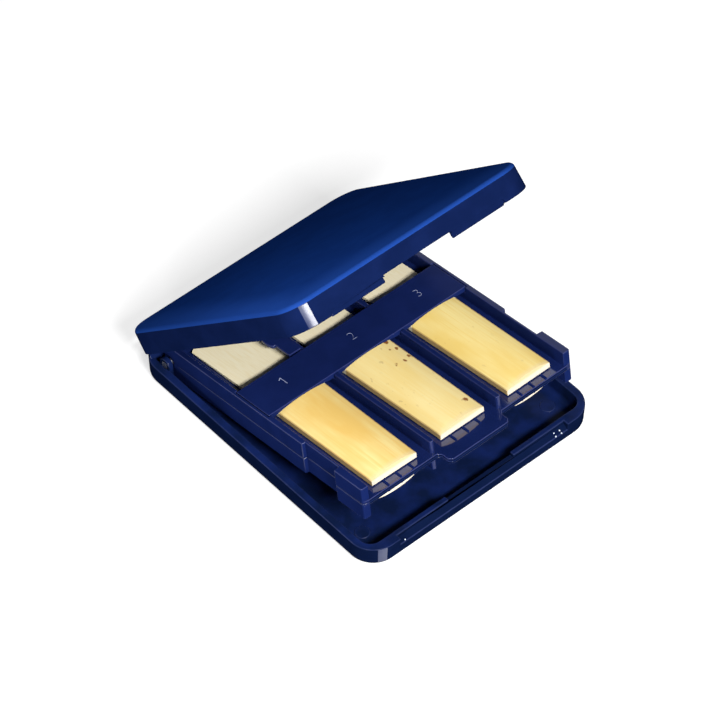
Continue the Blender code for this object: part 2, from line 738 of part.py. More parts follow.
def reed_section(share, along):
    """Half width, crown height and edge height at a share of the length."""
    width = REED_HEEL_WIDTH + (REED_TIP_WIDTH - REED_HEEL_WIDTH) * share
    past_bark = max(0.0, along - REED_BARK_LENGTH) / (REED_LENGTH - REED_BARK_LENGTH)
    thin = past_bark**0.8
    crown = REED_THICKNESS + (REED_TIP_THICKNESS - REED_THICKNESS) * thin
    edge = REED_EDGE_THICKNESS + (REED_TIP_EDGE_THICKNESS - REED_EDGE_THICKNESS) * thin
    half = width / 2
    to_tip = REED_LENGTH - along
    if to_tip < REED_TIP_ROUND:
        reach = 1 - to_tip / REED_TIP_ROUND
        half *= math.sqrt(max(0.0, 1 - 0.75 * reach * reach))
    return half, crown, edge


# Reed: round bark side, flat back, a long cut that thins to a rounded tip.
# It lies along +Y from its heel, flat back on the rails.
def make_reed(name, face, centre, shift, skew, material):
    stations = [0.0]
    bark_steps = 3
    cut_steps = 8
    tip_steps = 4
    straight = REED_LENGTH - REED_TIP_ROUND
    for i in range(1, bark_steps + 1):
        stations.append(REED_BARK_LENGTH * i / bark_steps)
    for i in range(1, cut_steps + 1):
        stations.append(REED_BARK_LENGTH + (straight - REED_BARK_LENGTH) * i / cut_steps)
    for i in range(1, tip_steps + 1):
        stations.append(straight + REED_TIP_ROUND * i / tip_steps)
    back = REED_BACK
    turn = Matrix.Rotation(math.radians(skew), 3, "Z")
    heel = Vector((centre, TRAY_FRONT + REED_HEEL_SET - shift, 0))
    loops = []
    for along in stations:
        half, crown, edge = reed_section(along / REED_LENGTH, along)
        loop = [(-half, back), (half, back)]
        for i in range(REED_ARC_STEPS + 1):
            share = 1 - 2 * i / REED_ARC_STEPS
            round_share = 1 - abs(share) ** REED_ROUND_POWER
            loop.append((half * share, back + edge + (crown - edge) * round_share))
        points = []
        for x, z in loop:
            spot = heel + turn @ Vector((x, along, 0))
            points.append((spot.x, spot.y, tray_height(face, z)))
        loops.append(points)
    reed = loft(name, loops)
    finish(reed, material, 40.0)
    return hang_on(reed, PIVOT, TRAY_LIFT_ANGLE)


# Steel pins of the lid's hinge, through each ear into the spine on both sides
def make_hinge_pin(name, side, material):
    xs = sorted((side * HINGE_PIN_INNER_X, side * HINGE_PIN_OUTER_X))
    pin = rod_x(name, HINGE.y, HINGE.z, HINGE_PIN_RADIUS, *xs)
    finish(pin, material)
    return hang_on(pin, HINGE, 0)


# Pivot pins of the tray, from each post into the tray's side wall
def make_pivot_pin(name, side, material):
    inner = TRAY_INNER_HALF_WIDTH + WALL_DRAFT
    xs = sorted((side * inner, side * PIVOT_POST_OUTER_X))
    pin = rod_x(name, PIVOT.y, PIVOT.z, PIVOT_PIN_RADIUS, *xs)
    finish(pin, material)
    return hang_on(pin, PIVOT, 0)


def build():
    clear_scene()
    navy = (0.006, 0.012, 0.075)
    cobalt = (0.006, 0.022, 0.130)
    make_base(plastic("base_navy", navy, 0.28))
    make_lid(plastic("lid_cobalt", cobalt, 0.30))
    make_hinge_pin("hinge_pin_left", -1, plastic("hinge_pin_left_steel", (0.55, 0.56, 0.58), 0.25, 1.0))
    make_hinge_pin("hinge_pin_right", 1, plastic("hinge_pin_right_steel", (0.55, 0.56, 0.58), 0.25, 1.0))
    make_pivot_pin("pivot_pin_left", -1, plastic("pivot_pin_left_steel", (0.55, 0.56, 0.58), 0.25, 1.0))
    make_pivot_pin("pivot_pin_right", 1, plastic("pivot_pin_right_steel", (0.55, 0.56, 0.58), 0.25, 1.0))
    for word, face in (("upper", 1), ("lower", -1)):
        make_tray_half("tray_" + word, face, plastic("tray_" + word + "_navy", navy, 0.22))
        make_band("band_" + word, face, plastic("band_" + word + "_navy", navy, 0.30))
    cane = ((0.86, 0.66, 0.25), (0.88, 0.74, 0.40), (0.88, 0.70, 0.32))
    for i, colour in enumerate(cane):
        number = str(i + 1)
        make_reed(
            "reed_upper_" + number,
            1,
            (i - 1) * SLOT_PITCH + UPPER_REED_OFFSETS[i],
            UPPER_REED_SHIFTS[i],
            UPPER_REED_SKEWS[i],
            plastic("reed_upper_" + number + "_cane", colour, 0.5),
        )
        make_reed(
            "reed_lower_" + number,
            -1,
            (i - 1) * SLOT_PITCH + LOWER_REED_OFFSETS[i],
            LOWER_REED_SHIFTS[i],
            LOWER_REED_SKEWS[i],
            plastic("reed_lower_" + number + "_cane", colour, 0.5),
        )


build()
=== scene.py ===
"""Flat hinged reed case, standing open, with six cane reeds in its tray."""

import json
import math

import bmesh
import bpy
from mathutils import Matrix, Vector


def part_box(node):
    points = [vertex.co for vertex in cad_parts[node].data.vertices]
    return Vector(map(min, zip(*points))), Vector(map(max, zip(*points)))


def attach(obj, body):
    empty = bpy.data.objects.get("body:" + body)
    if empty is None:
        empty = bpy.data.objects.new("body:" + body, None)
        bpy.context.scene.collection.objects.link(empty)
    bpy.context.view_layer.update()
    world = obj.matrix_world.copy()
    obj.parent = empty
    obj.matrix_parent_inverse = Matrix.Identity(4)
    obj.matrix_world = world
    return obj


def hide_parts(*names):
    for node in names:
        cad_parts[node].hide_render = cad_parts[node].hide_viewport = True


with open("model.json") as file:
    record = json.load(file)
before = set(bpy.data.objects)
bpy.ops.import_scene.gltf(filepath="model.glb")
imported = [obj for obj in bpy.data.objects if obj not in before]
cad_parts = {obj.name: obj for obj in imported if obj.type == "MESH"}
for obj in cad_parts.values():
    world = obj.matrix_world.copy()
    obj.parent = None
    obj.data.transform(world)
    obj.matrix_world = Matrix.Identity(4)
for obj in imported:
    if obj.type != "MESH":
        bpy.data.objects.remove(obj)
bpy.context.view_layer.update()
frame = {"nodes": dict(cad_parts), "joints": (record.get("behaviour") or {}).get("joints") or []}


# Base shell: the shallow half of the case, moulded in navy plastic in one shot.
# Its thick front wall carries two raised lips and a sloping ledge with fine pips;
# a round spine runs along the back, and two posts hold the tray's pins.
MM = 0.001
base_low, base_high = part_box("base_shell")
joint_places = {joint["name"]: Vector(joint["pos_m"]) for joint in frame["joints"] if "pos_m" in joint}
HINGE = joint_places["lid_hinge"]
PIVOT = joint_places["tray_pivot"]
CASE_HALF_WIDTH = base_high.x
CASE_HALF_DEPTH = -base_low.y
CASE_CORNER_RADIUS = 7.5 * MM
RIM_HEIGHT = 6.2 * MM
WALL_DRAFT = 0.2 * MM
FLOOR_THICKNESS = 1.2 * MM
SIDE_WALL = 2.3 * MM
FRONT_WALL = 3.2 * MM
REAR_WALL = 1.9 * MM
FOOT_ROUND = 1.4 * MM
FLOOR_COVE = 1.2 * MM
BAY_CORNER_RADIUS = 3.4 * MM
RIM_SOFTNESS = 0.28 * MM
LEDGE_HALF_LENGTH = CASE_HALF_WIDTH - 10.3 * MM
LEDGE_DEPTH = 1.7 * MM
LEDGE_INNER_HEIGHT = RIM_HEIGHT - 1.2 * MM
LEDGE_OUTER_HEIGHT = RIM_HEIGHT - 2.4 * MM
NOTCH_HALF_LENGTH = 11.2 * MM
NOTCH_HEIGHT = RIM_HEIGHT - 1.1 * MM
SPINE_RADIUS = 2.4 * MM
HINGE_CLEARANCE = 0.3 * MM
EAR_INNER_X = CASE_HALF_WIDTH - 11.1 * MM
EAR_WIDTH = 2.8 * MM
HINGE_BORE_RADIUS = 0.9 * MM
HINGE_BORE_INNER_X = EAR_INNER_X - 3.3 * MM
HINGE_BORE_OUTER_X = EAR_INNER_X + EAR_WIDTH + 3.1 * MM
PIVOT_BORE_RADIUS = 1.1 * MM
POST_INNER_X = 35.4 * MM
POST_OUTER_X = 36.9 * MM
POST_RADIUS = 2.0 * MM
PAD_RADIUS = 2.1 * MM
PAD_RISE = 0.15 * MM
PAD_X = CASE_HALF_WIDTH - 7.0 * MM
PAD_Y = -CASE_HALF_DEPTH + 11.1 * MM
OVERRUN = 2.0 * MM
WELD = 0.002 * MM
SPINE_INSET = 0.25 * MM
# The base's outer navy, darker than its bay's, is painted shade.
NAVY = (0.0031, 0.0078, 0.033)
NAVY_DEEP = (0.0024, 0.0062, 0.027)
NAVY_INSIDE = (0.0052, 0.0130, 0.072)
# Lighter navy for up-facing rounded edges, as wear and as painted highlight.
NAVY_WEAR_AND_SHEEN = (0.009, 0.017, 0.068)
# Pale pigment for a painted highlight strip on the near corners.
NAVY_CORNER_HIGHLIGHT = (0.050, 0.060, 0.115)
FACES_UP = 0.25
FACES_OUT = 0.3
FACE_SLACK = 0.05 * MM
CORNER_HIGHLIGHT_TURNS = (60.0, 76.0)
PIP_RADIUS = 0.22 * MM
PIP_PLACES = ((24.8, -44.9), (24.8, -45.7), (26.6, -45.1), (26.7, -45.8), (-27.0, -45.6))
# The pips' pale colour is a painted glint.
PIP_GLINT_PALE = (0.55, 0.60, 0.70)


def add_object(name, data):
    item = bpy.data.objects.new(name, data)
    bpy.context.scene.collection.objects.link(item)
    return item


def new_piece(name, shape):
    """An object at the origin from an edited mesh, which is freed."""
    bmesh.ops.recalc_face_normals(shape, faces=shape.faces)
    mesh = bpy.data.meshes.new(name)
    shape.to_mesh(mesh)
    shape.free()
    return add_object(name, mesh)


def skin(name, loops):
    """A closed skin over loops of equally many points."""
    shape = bmesh.new()
    rows = [[shape.verts.new(point) for point in loop] for loop in loops]
    count = len(loops[0])
    for below, above in zip(rows, rows[1:]):
        for i in range(count):
            j = (i + 1) % count
            shape.faces.new((below[i], below[j], above[j], above[i]))
    shape.faces.new(reversed(rows[0]))
    shape.faces.new(rows[-1])
    return new_piece(name, shape)


def bar_x(name, profile, x0, x1):
    return skin(name, [[(x, y, z) for y, z in profile] for x in sorted((x0, x1))])


def bar_y(name, profile, y0, y1):
    return skin(name, [[(x, y, z) for x, z in profile] for y in sorted((y0, y1))])


def bar_z(name, profile, z0, z1):
    return skin(name, [[(x, y, z) for x, y in profile] for z in sorted((z0, z1))])


def block(name, xs, ys, zs):
    (x0, x1), (y0, y1) = sorted(xs), sorted(ys)
    return bar_z(name, ((x0, y0), (x1, y0), (x1, y1), (x0, y1)), *zs)


def arc(centre, radius, start, end, steps):
    """Points of an arc, angles in quarter turns."""
    for i in range(steps + 1):
        angle = math.pi / 2 * (start + (end - start) * i / steps)
        yield centre[0] + radius * math.cos(angle), centre[1] + radius * math.sin(angle)


def rod_x(name, centre, radius, xs, steps=48):
    ring = list(arc((centre.y, centre.z), radius, 0, 4, steps))[:-1]
    return bar_x(name, ring, *xs)


def outline(side, front, rear, radius, z):
    """The case's rounded rectangle, drawn in from its sides, front and rear."""
    x, y0, y1 = CASE_HALF_WIDTH - side, -CASE_HALF_DEPTH + front, CASE_HALF_DEPTH - rear
    points = []
    for quarter, (cx, cy) in enumerate(((x, y1), (-x, y1), (-x, y0), (x, y0))):
        cx -= math.copysign(radius, cx)
        cy -= math.copysign(radius, cy)
        points += [(px, py, z) for px, py in arc((cx, cy), radius, quarter, quarter + 1, 14)]
    return points


def outer_loop(inset, z):
    return outline(inset, inset, inset, CASE_CORNER_RADIUS - inset, z)


def inner_loop(walls, corner, inset, z):
    side, front, rear = (wall + inset for wall in walls)
    return outline(side, front, rear, corner - inset, z)


def fillet(radius, steps=7):
    """Inset and rise of a quarter round, from its flat end to its upright end."""
    for x, y in arc((radius, radius), radius, 3, 2, steps):
        yield x, y


def final_mesh(item):
    """What an object's modifiers or text come to, as a plain mesh."""
    graph = bpy.context.evaluated_depsgraph_get()
    return bpy.data.meshes.new_from_object(item.evaluated_get(graph))


def combine(target, operation, *tools):
    """Join the target with each tool or cut it by each, and drop the tools."""
    for tool in tools:
        step = target.modifiers.new(operation.lower(), "BOOLEAN")
        step.operation = operation
        step.solver = "EXACT"
        step.object = tool
        mesh = final_mesh(target)
        target.modifiers.clear()
        target.data = mesh
        bpy.data.objects.remove(tool, do_unlink=True)
    return target


def soften(piece, width, segments=3, least_angle=50.0):
    """Round the outward edges as a mould's are, and mark the rounded faces."""
    shape = bmesh.new()
    shape.from_mesh(piece.data)
    bmesh.ops.remove_doubles(shape, verts=shape.verts, dist=WELD)
    bmesh.ops.dissolve_limit(
        shape, angle_limit=math.radians(0.05), verts=shape.verts, edges=shape.edges
    )
    edges = [
        edge
        for edge in shape.edges
        if edge.is_manifold and edge.is_convex and edge.calc_face_angle() > math.radians(least_angle)
    ]
    wear_and_sheen = shape.faces.layers.float.new("wear_and_sheen")
    made = bmesh.ops.bevel(
        shape, geom=edges, offset=width, segments=segments, profile=0.5, affect="EDGES",
        clamp_overlap=False, harden_normals=False,
    )
    for face in made["faces"]:
        face[wear_and_sheen] = 1.0
    shape.to_mesh(piece.data)
    shape.free()
    return piece


def lay_finishes(piece, main, *others):
    """The main finish all over, each other one on the faces that its test picks."""
    piece.data.materials.clear()
    piece.data.materials.append(main)
    wear_and_sheen = piece.data.attributes["wear_and_sheen"].data
    for finish, test in others:
        piece.data.materials.append(finish)
        for face in piece.data.polygons:
            if test(face.center, face.normal, wear_and_sheen[face.index].value > 0.5):
                face.material_index = len(piece.data.materials) - 1
    for face in piece.data.polygons:
        if face.material_index == 0:
            wear_and_sheen[face.index].value = 0.0


def is_edge_wear_and_sheen(centre, normal, wear_and_sheen):
    """Rounded edges that face up, where hands rub and a painted highlight lies."""
    return wear_and_sheen and normal.z > FACES_UP


def on_corner(centre, normal, wear_and_sheen):
    """The upright columns of the near corner, which get a painted highlight strip."""
    near_corner = centre.x < 0 and centre.y < 0 and abs(normal.z) < FACES_OUT
    least, most = CORNER_HIGHLIGHT_TURNS
    return near_corner and least < math.degrees(math.atan2(-normal.y, -normal.x)) < most


def smooth(piece, sharp_angle=35.0):
    """Shade smooth with crisp inner corners, flat faces kept flat."""
    piece.data.shade_smooth()
    piece.data.set_sharp_from_angle(angle=math.radians(sharp_angle))
    even = piece.modifiers.new("even_shading", "WEIGHTED_NORMAL")
    even.keep_sharp = True
    return piece


def turn_about(piece, place, degrees):
    """Swing a piece that was made closed to where it stands open."""
    matrix = Matrix.Translation(place) @ Matrix.Rotation(-math.radians(degrees), 4, "X")
    piece.data.transform(matrix @ Matrix.Translation(-place))
    return piece


def node_of(tree, kind, inputs=None, **settings):
    """A new node with its settings, and its inputs given as sockets or values."""
    node = tree.nodes.new(kind)
    for name, value in settings.items():
        setattr(node, name, value)
    for name, value in (inputs or {}).items():
        if isinstance(value, bpy.types.NodeSocket):
            tree.links.new(value, node.inputs[name])
        else:
            node.inputs[name].default_value = value
    return node


def math_node(tree, operation, *values):
    """The result of a sum over sockets or numbers."""
    inputs = dict(enumerate(values))
    return node_of(tree, "ShaderNodeMath", inputs, operation=operation).outputs["Value"]


def times(tree, first, second):
    return math_node(tree, "MULTIPLY", first, second)


def spread(tree, value, low, high):
    """Map low..high to 0..1, kept inside."""
    inputs = {"Value": value, "From Min": low, "From Max": high}
    return node_of(tree, "ShaderNodeMapRange", inputs).outputs["Result"]


def mix_colour(tree, share, first, second):
    """The first colour, giving way to the second by the share."""
    inputs = {"Factor": share}
    for name, colour in (("A", first), ("B", second)):
        inputs[name] = colour if isinstance(colour, bpy.types.NodeSocket) else (*colour, 1)
    return node_of(tree, "ShaderNodeMix", inputs, data_type="RGBA").outputs["Result"]


def attribute(tree, name, kind="Fac"):
    return node_of(tree, "ShaderNodeAttribute", attribute_name=name).outputs[kind]


def noise_over(tree, vector, scale=(1, 1, 1), fineness=1.0, detail=3.0, seed=0.0):
    """Noise stretched by scale along each direction of the vector."""
    place = {"Vector": vector, "Scale": scale, "Location": (seed, seed * 0.7, 0)}
    stretched = node_of(tree, "ShaderNodeMapping", place).outputs["Vector"]
    noise = {"Vector": stretched, "Scale": fineness, "Detail": detail}
    return node_of(tree, "ShaderNodeTexNoise", noise).outputs["Fac"]


def new_finish(name):
    """A new material, its node tree and its main shader."""
    material = bpy.data.materials.new(name)
    material.use_nodes = True
    return material, material.node_tree, material.node_tree.nodes["Principled BSDF"]


def vary_roughness(tree, shader, value, low, high):
    inputs = {"Value": value, "To Min": low, "To Max": high}
    gloss = node_of(tree, "ShaderNodeMapRange", inputs)
    tree.links.new(gloss.outputs["Result"], shader.inputs["Roughness"])


def raise_grain(tree, shader, height, strength, distance):
    inputs = {"Height": height, "Strength": strength, "Distance": distance}
    bump = node_of(tree, "ShaderNodeBump", inputs)
    tree.links.new(bump.outputs["Normal"], shader.inputs["Normal"])


def plastic(name, body, deep, wear_and_sheen, level, roughness, coat=0.0, grain=1.0):
    """Moulded plastic: clouded pigment, fine mould grain, and rounded edges lightened as wear and as
    painted highlight.
    """
    material, tree, shader = new_finish(name)
    shader.inputs["IOR"].default_value = 1.5
    shader.inputs["Specular IOR Level"].default_value = level
    shader.inputs["Coat Weight"].default_value = coat
    shader.inputs["Coat Roughness"].default_value = 0.08
    place = node_of(tree, "ShaderNodeTexCoord").outputs["Object"]
    cloud = noise_over(tree, place, fineness=140.0, detail=3.0)
    fine = noise_over(tree, place, fineness=5200.0, detail=2.0)
    scuff = noise_over(tree, place, fineness=900.0, detail=4.0)
    pigment = mix_colour(tree, spread(tree, cloud, 0.38, 0.62), deep, body)
    # Rounded faces lighten in patches, as wear and as painted highlight.
    wear_and_sheen_share = times(tree, attribute(tree, "wear_and_sheen"), scuff)
    pigment = mix_colour(tree, wear_and_sheen_share, pigment, wear_and_sheen)
    tree.links.new(pigment, shader.inputs["Base Color"])
    vary_roughness(tree, shader, scuff, roughness * 0.85, roughness * 1.15)
    raise_grain(tree, shader, fine, 0.12 * grain, 0.02 * MM)
    return material


loops = [outer_loop(WALL_DRAFT + inset, rise) for inset, rise in fillet(FOOT_ROUND)]
loops.append(outer_loop(0, RIM_HEIGHT))
walls = (SIDE_WALL, FRONT_WALL, REAR_WALL)
loops.append(inner_loop(walls, BAY_CORNER_RADIUS, 0, RIM_HEIGHT))
loops += [
    inner_loop(walls, BAY_CORNER_RADIUS, inset, FLOOR_THICKNESS + rise)
    for inset, rise in reversed(list(fillet(FLOOR_COVE)))
]
base = skin("case_base", loops)

spine_front = HINGE.y - SPINE_RADIUS
spine_ring = [(spine_front, FLOOR_THICKNESS / 2)]
spine_ring += list(arc((HINGE.y, HINGE.z), SPINE_RADIUS, 2, 0, 24))
spine_ring.append((HINGE.y + SPINE_RADIUS, FLOOR_THICKNESS / 2))
spine_reach = CASE_HALF_WIDTH - SIDE_WALL / 2
spine = bar_x("spine", spine_ring, -spine_reach, spine_reach)
spine_top = HINGE.z + SPINE_RADIUS
inside_loops = [outer_loop(WALL_DRAFT + SPINE_INSET, 0), outer_loop(WALL_DRAFT, spine_top + OVERRUN)]
inside = skin("inside", inside_loops)
combine(spine, "INTERSECT", inside)
combine(base, "UNION", spine)

for side in (-1, 1):
    ring = [(PIVOT.y - POST_RADIUS, FLOOR_THICKNESS / 2)]
    ring += list(arc((PIVOT.y, PIVOT.z), POST_RADIUS, 2, 0, 24))
    ring.append((PIVOT.y + POST_RADIUS, FLOOR_THICKNESS / 2))
    post = bar_x("post", ring, side * POST_INNER_X, side * POST_OUTER_X)
    pad_ring = list(arc((side * PAD_X, PAD_Y), PAD_RADIUS, 0, 4, 48))[:-1]
    pad = bar_z("pad", pad_ring, FLOOR_THICKNESS / 2, FLOOR_THICKNESS + PAD_RISE)
    combine(base, "UNION", post, pad)

front = -CASE_HALF_DEPTH
ledge_ring = [
    (front - LEDGE_DEPTH, 2 * LEDGE_OUTER_HEIGHT - LEDGE_INNER_HEIGHT),
    (front + LEDGE_DEPTH, LEDGE_INNER_HEIGHT),
    (front + LEDGE_DEPTH, RIM_HEIGHT + OVERRUN),
    (front - LEDGE_DEPTH, RIM_HEIGHT + OVERRUN),
]
ledge = bar_x("ledge", ledge_ring, -LEDGE_HALF_LENGTH, LEDGE_HALF_LENGTH)
notch = block(
    "notch",
    (-NOTCH_HALF_LENGTH, NOTCH_HALF_LENGTH),
    (front - OVERRUN, front + FRONT_WALL + OVERRUN),
    (NOTCH_HEIGHT, RIM_HEIGHT + OVERRUN),
)
combine(base, "DIFFERENCE", ledge, notch)

pocket_radius = SPINE_RADIUS + HINGE_CLEARANCE
behind = (HINGE.y, CASE_HALF_DEPTH + OVERRUN)
above = spine_top + OVERRUN
for side in (-1, 1):
    pocket_xs = [
        side * (EAR_INNER_X - HINGE_CLEARANCE), side * (EAR_INNER_X + EAR_WIDTH + HINGE_CLEARANCE)
    ]
    hinge_xs = (side * HINGE_BORE_INNER_X, side * HINGE_BORE_OUTER_X)
    pivot_xs = (side * (POST_INNER_X - OVERRUN), side * (POST_OUTER_X + WALL_DRAFT))
    combine(
        base,
        "DIFFERENCE",
        rod_x("round", HINGE, pocket_radius, pocket_xs),
        block("behind", pocket_xs, behind, (HINGE.z - pocket_radius, above)),
        block("over", pocket_xs, (HINGE.y - pocket_radius, behind[1]), (HINGE.z, above)),
        rod_x("bore", HINGE, HINGE_BORE_RADIUS, hinge_xs),
        rod_x("pivot", PIVOT, PIVOT_BORE_RADIUS, pivot_xs),
    )
soften(base, RIM_SOFTNESS)
smooth(base)


def in_bay(centre, normal, wear_and_sheen):
    """Faces of the polished bay, inside the walls and below the rim."""
    inside_x = abs(centre.x) < CASE_HALF_WIDTH - SIDE_WALL + FACE_SLACK
    inside_y = centre.y > front + FRONT_WALL - FACE_SLACK
    return inside_x and inside_y and centre.z > FLOOR_THICKNESS / 2 and not wear_and_sheen


# Painted shade: the base's outer walls get a darker navy than its bay.
navy_shaded_satin = plastic("navy_plastic_shaded_satin", NAVY, NAVY_DEEP, NAVY_WEAR_AND_SHEEN, 0.0, 0.4)
# Up-facing rounded edges are lighter, as wear and as painted highlight.
navy_sheen_edge = plastic("navy_plastic_sheen_edge", NAVY_WEAR_AND_SHEEN, NAVY, NAVY_WEAR_AND_SHEEN, 0.1, 0.25)
# Painted highlight: pale pigment on the near corner's columns, over a glossier finish that also takes
# the lamp's real reflection.
navy_corner_highlight = plastic("navy_plastic_corner_highlight", NAVY_CORNER_HIGHLIGHT, NAVY_WEAR_AND_SHEEN, NAVY_CORNER_HIGHLIGHT, 0.4, 0.3)
navy_bay = plastic("navy_plastic_bay", NAVY_INSIDE, NAVY, NAVY_WEAR_AND_SHEEN, 0.04, 0.2)
lay_finishes(base, navy_shaded_satin, (navy_sheen_edge, is_edge_wear_and_sheen), (navy_bay, in_bay), (navy_corner_highlight, on_corner))
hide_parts("base_shell")
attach(base, "base")

ledge_slope = (LEDGE_INNER_HEIGHT - LEDGE_OUTER_HEIGHT) / LEDGE_DEPTH
shape = bmesh.new()
for x, y in PIP_PLACES:
    height = LEDGE_OUTER_HEIGHT + (y * MM - front) * ledge_slope
    place = Matrix.Translation((x * MM, y * MM, height))
    bmesh.ops.create_icosphere(shape, subdivisions=3, radius=PIP_RADIUS, matrix=place)
pips = new_piece("ledge_pips", shape)
pips.data.shade_smooth()
# Painted glint: the pips are coloured pale.
pips.data.materials.append(plastic("pips_painted_glint", PIP_GLINT_PALE, PIP_GLINT_PALE, PIP_GLINT_PALE, 0.4, 0.3))
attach(pips, "base")


# Steel pins: plain drawn wire, two through the lid's ears into the spine and two
# through the posts into the tray's side walls, held by their fit alone.
STEEL = (0.56, 0.57, 0.59)

steel, tree, shader = new_finish("drawn_steel")
shader.inputs["Base Color"].default_value = (*STEEL, 1)
shader.inputs["Metallic"].default_value = 1.0
place = node_of(tree, "ShaderNodeTexCoord").outputs["Object"]
drawn = noise_over(tree, place, (0.05, 1, 1), fineness=9000.0, detail=2.0)
vary_roughness(tree, shader, drawn, 0.2, 0.42)
raise_grain(tree, shader, drawn, 0.2, 0.01 * MM)
for name in ("hinge_pin_left", "hinge_pin_right", "pivot_pin_left", "pivot_pin_right"):
    pin = frame["nodes"][name]
    pin.data.materials.clear()
    pin.data.materials.append(steel)


# Lid shell: the deeper half, moulded in the same navy; the lighter cobalt of its satin top is painted
# light.
# Two set-back tongues on its front wall snap outside the base's lips, and two
# ears reach down into the spine and turn on the hinge pins.
LID_TOP = 13.6 * MM
PARTING_GAP = 0.15 * MM
LID_WALL = 1.6 * MM
LID_ROOF = 1.15 * MM
LID_EDGE_ROUND = 1.3 * MM
LID_COVE = 0.9 * MM
LID_OPEN = 44.0
TONGUE_OUTER_X = LEDGE_HALF_LENGTH - 0.3 * MM
TONGUE_DROP = 0.3 * MM
TONGUE_RECESS = 0.6 * MM
TONGUE_TOP = RIM_HEIGHT + 1.5 * MM
TONGUE_CORNER = 1.0 * MM
TONGUE_SIDE_GAP = 0.25 * MM
LATCH_CLEARANCE = 0.25 * MM
LID_NOTCH_TOP = RIM_HEIGHT + 1.7 * MM
LID_REAR_CUT = HINGE.z + SPINE_RADIUS + 0.8 * MM
EAR_NECK_TOP = LID_REAR_CUT + 1.3 * MM
LID_SOFTNESS = 0.22 * MM
LID_CROWN = 0.35 * MM
LID_CROWN_WIDTHS = (13.0 * MM, 18.0 * MM, 24.0 * MM)
LID_CROWN_STEPS = 9
LID_CROWN_CORNER = 1.0 * MM
LID_NAVY = (0.0043, 0.0110, 0.056)
LID_NAVY_DEEP = (0.0034, 0.0090, 0.046)
# Painted light: the top grows lighter towards its front and left edges.
COBALT_PAINTED_LIGHT = (0.012, 0.052, 0.270)
PAINTED_LIGHT_FRONT = 16.0 * MM
PAINTED_LIGHT_FRONT_SHARE = 0.75
PAINTED_LIGHT_SIDE = 14.0 * MM
PAINTED_LIGHT_SIDE_SHARE = 0.7
# The top's cobalt, much lighter than the walls' navy, is painted light.
COBALT = (0.0055, 0.030, 0.172)
COBALT_DEEP = (0.0050, 0.027, 0.155)
# Lighter cobalt on the top's rounded edges, as wear and as painted highlight.
COBALT_WEAR_AND_SHEEN = (0.010, 0.055, 0.260)

lid_rim = RIM_HEIGHT + PARTING_GAP
flat_edge = WALL_DRAFT + LID_EDGE_ROUND
loops = []
for i in range(LID_CROWN_STEPS, 0, -1):
    share = i / LID_CROWN_STEPS
    side, front_width, rear_width = (flat_edge + width * share for width in LID_CROWN_WIDTHS)
    rise = LID_CROWN * (1 - (1 - share) ** 2)
    corner = max(CASE_CORNER_RADIUS - side, LID_CROWN_CORNER)
    loops.append(outline(side, front_width, rear_width, corner, LID_TOP + rise))
loops += [outer_loop(WALL_DRAFT + inset, LID_TOP - drop) for inset, drop in fillet(LID_EDGE_ROUND)]
loops.append(outer_loop(0, lid_rim))
walls = (LID_WALL, LID_WALL, LID_WALL)
lid_corner = CASE_CORNER_RADIUS - LID_WALL
loops.append(inner_loop(walls, lid_corner, 0, lid_rim))
loops += [
    inner_loop(walls, lid_corner, WALL_DRAFT + inset, LID_TOP - LID_ROOF - drop)
    for inset, drop in reversed(list(fillet(LID_COVE)))
]
lid = skin("case_lid", loops)
tongue_low = RIM_HEIGHT - TONGUE_DROP
tongue_face = front + TONGUE_RECESS + WALL_DRAFT
for side in (-1, 1):
    near, far = sorted((side * NOTCH_HALF_LENGTH, side * TONGUE_OUTER_X))
    tongue = block(
        "tongue",
        (near, far),
        (tongue_face, front + LEDGE_DEPTH - LATCH_CLEARANCE),
        (tongue_low, lid_rim + LID_WALL),
    )
    near -= TONGUE_SIDE_GAP
    far += TONGUE_SIDE_GAP
    ring = [(near, tongue_low - OVERRUN), (far, tongue_low - OVERRUN)]
    corner_z = TONGUE_TOP - TONGUE_CORNER
    ring += arc((far - TONGUE_CORNER, corner_z), TONGUE_CORNER, 0, 1, 8)
    ring += arc((near + TONGUE_CORNER, corner_z), TONGUE_CORNER, 1, 2, 8)
    combine(lid, "UNION", tongue)
    combine(lid, "DIFFERENCE", bar_y("recess", ring, front - OVERRUN, tongue_face))
notch = block(
    "notch",
    (-NOTCH_HALF_LENGTH, NOTCH_HALF_LENGTH),
    (front - OVERRUN, front + LID_WALL + OVERRUN),
    (tongue_low - OVERRUN, LID_NOTCH_TOP),
)
wide = CASE_HALF_WIDTH + OVERRUN
combine(
    lid,
    "DIFFERENCE",
    notch,
    rod_x("round", HINGE, pocket_radius, (-wide, wide)),
    block("rear", (-wide, wide), (HINGE.y, CASE_HALF_DEPTH + OVERRUN), (HINGE.z, LID_REAR_CUT)),
)
for side in (-1, 1):
    ear_xs = (side * EAR_INNER_X, side * (EAR_INNER_X + EAR_WIDTH))
    disc = rod_x("disc", HINGE, SPINE_RADIUS, ear_xs)
    neck = block(
        "neck",
        ear_xs,
        (spine_front, CASE_HALF_DEPTH - WALL_DRAFT - SPINE_INSET),
        (HINGE.z, EAR_NECK_TOP),
    )
    combine(disc, "UNION", neck)
    bore_xs = (ear_xs[0] - side * HINGE_CLEARANCE, ear_xs[1] + side * HINGE_CLEARANCE)
    combine(lid, "UNION", disc)
    combine(lid, "DIFFERENCE", rod_x("bore", HINGE, HINGE_BORE_RADIUS, bore_xs))
soften(lid, LID_SOFTNESS)


def on_top(centre, normal, wear_and_sheen):
    """The lid's crowned top with its rounded edge."""
    return centre.z > LID_TOP - LID_EDGE_ROUND and normal.z > FACES_OUT


lid_satin = plastic("lid_plastic_satin", LID_NAVY, LID_NAVY_DEEP, NAVY_WEAR_AND_SHEEN, 0.0, 0.4)
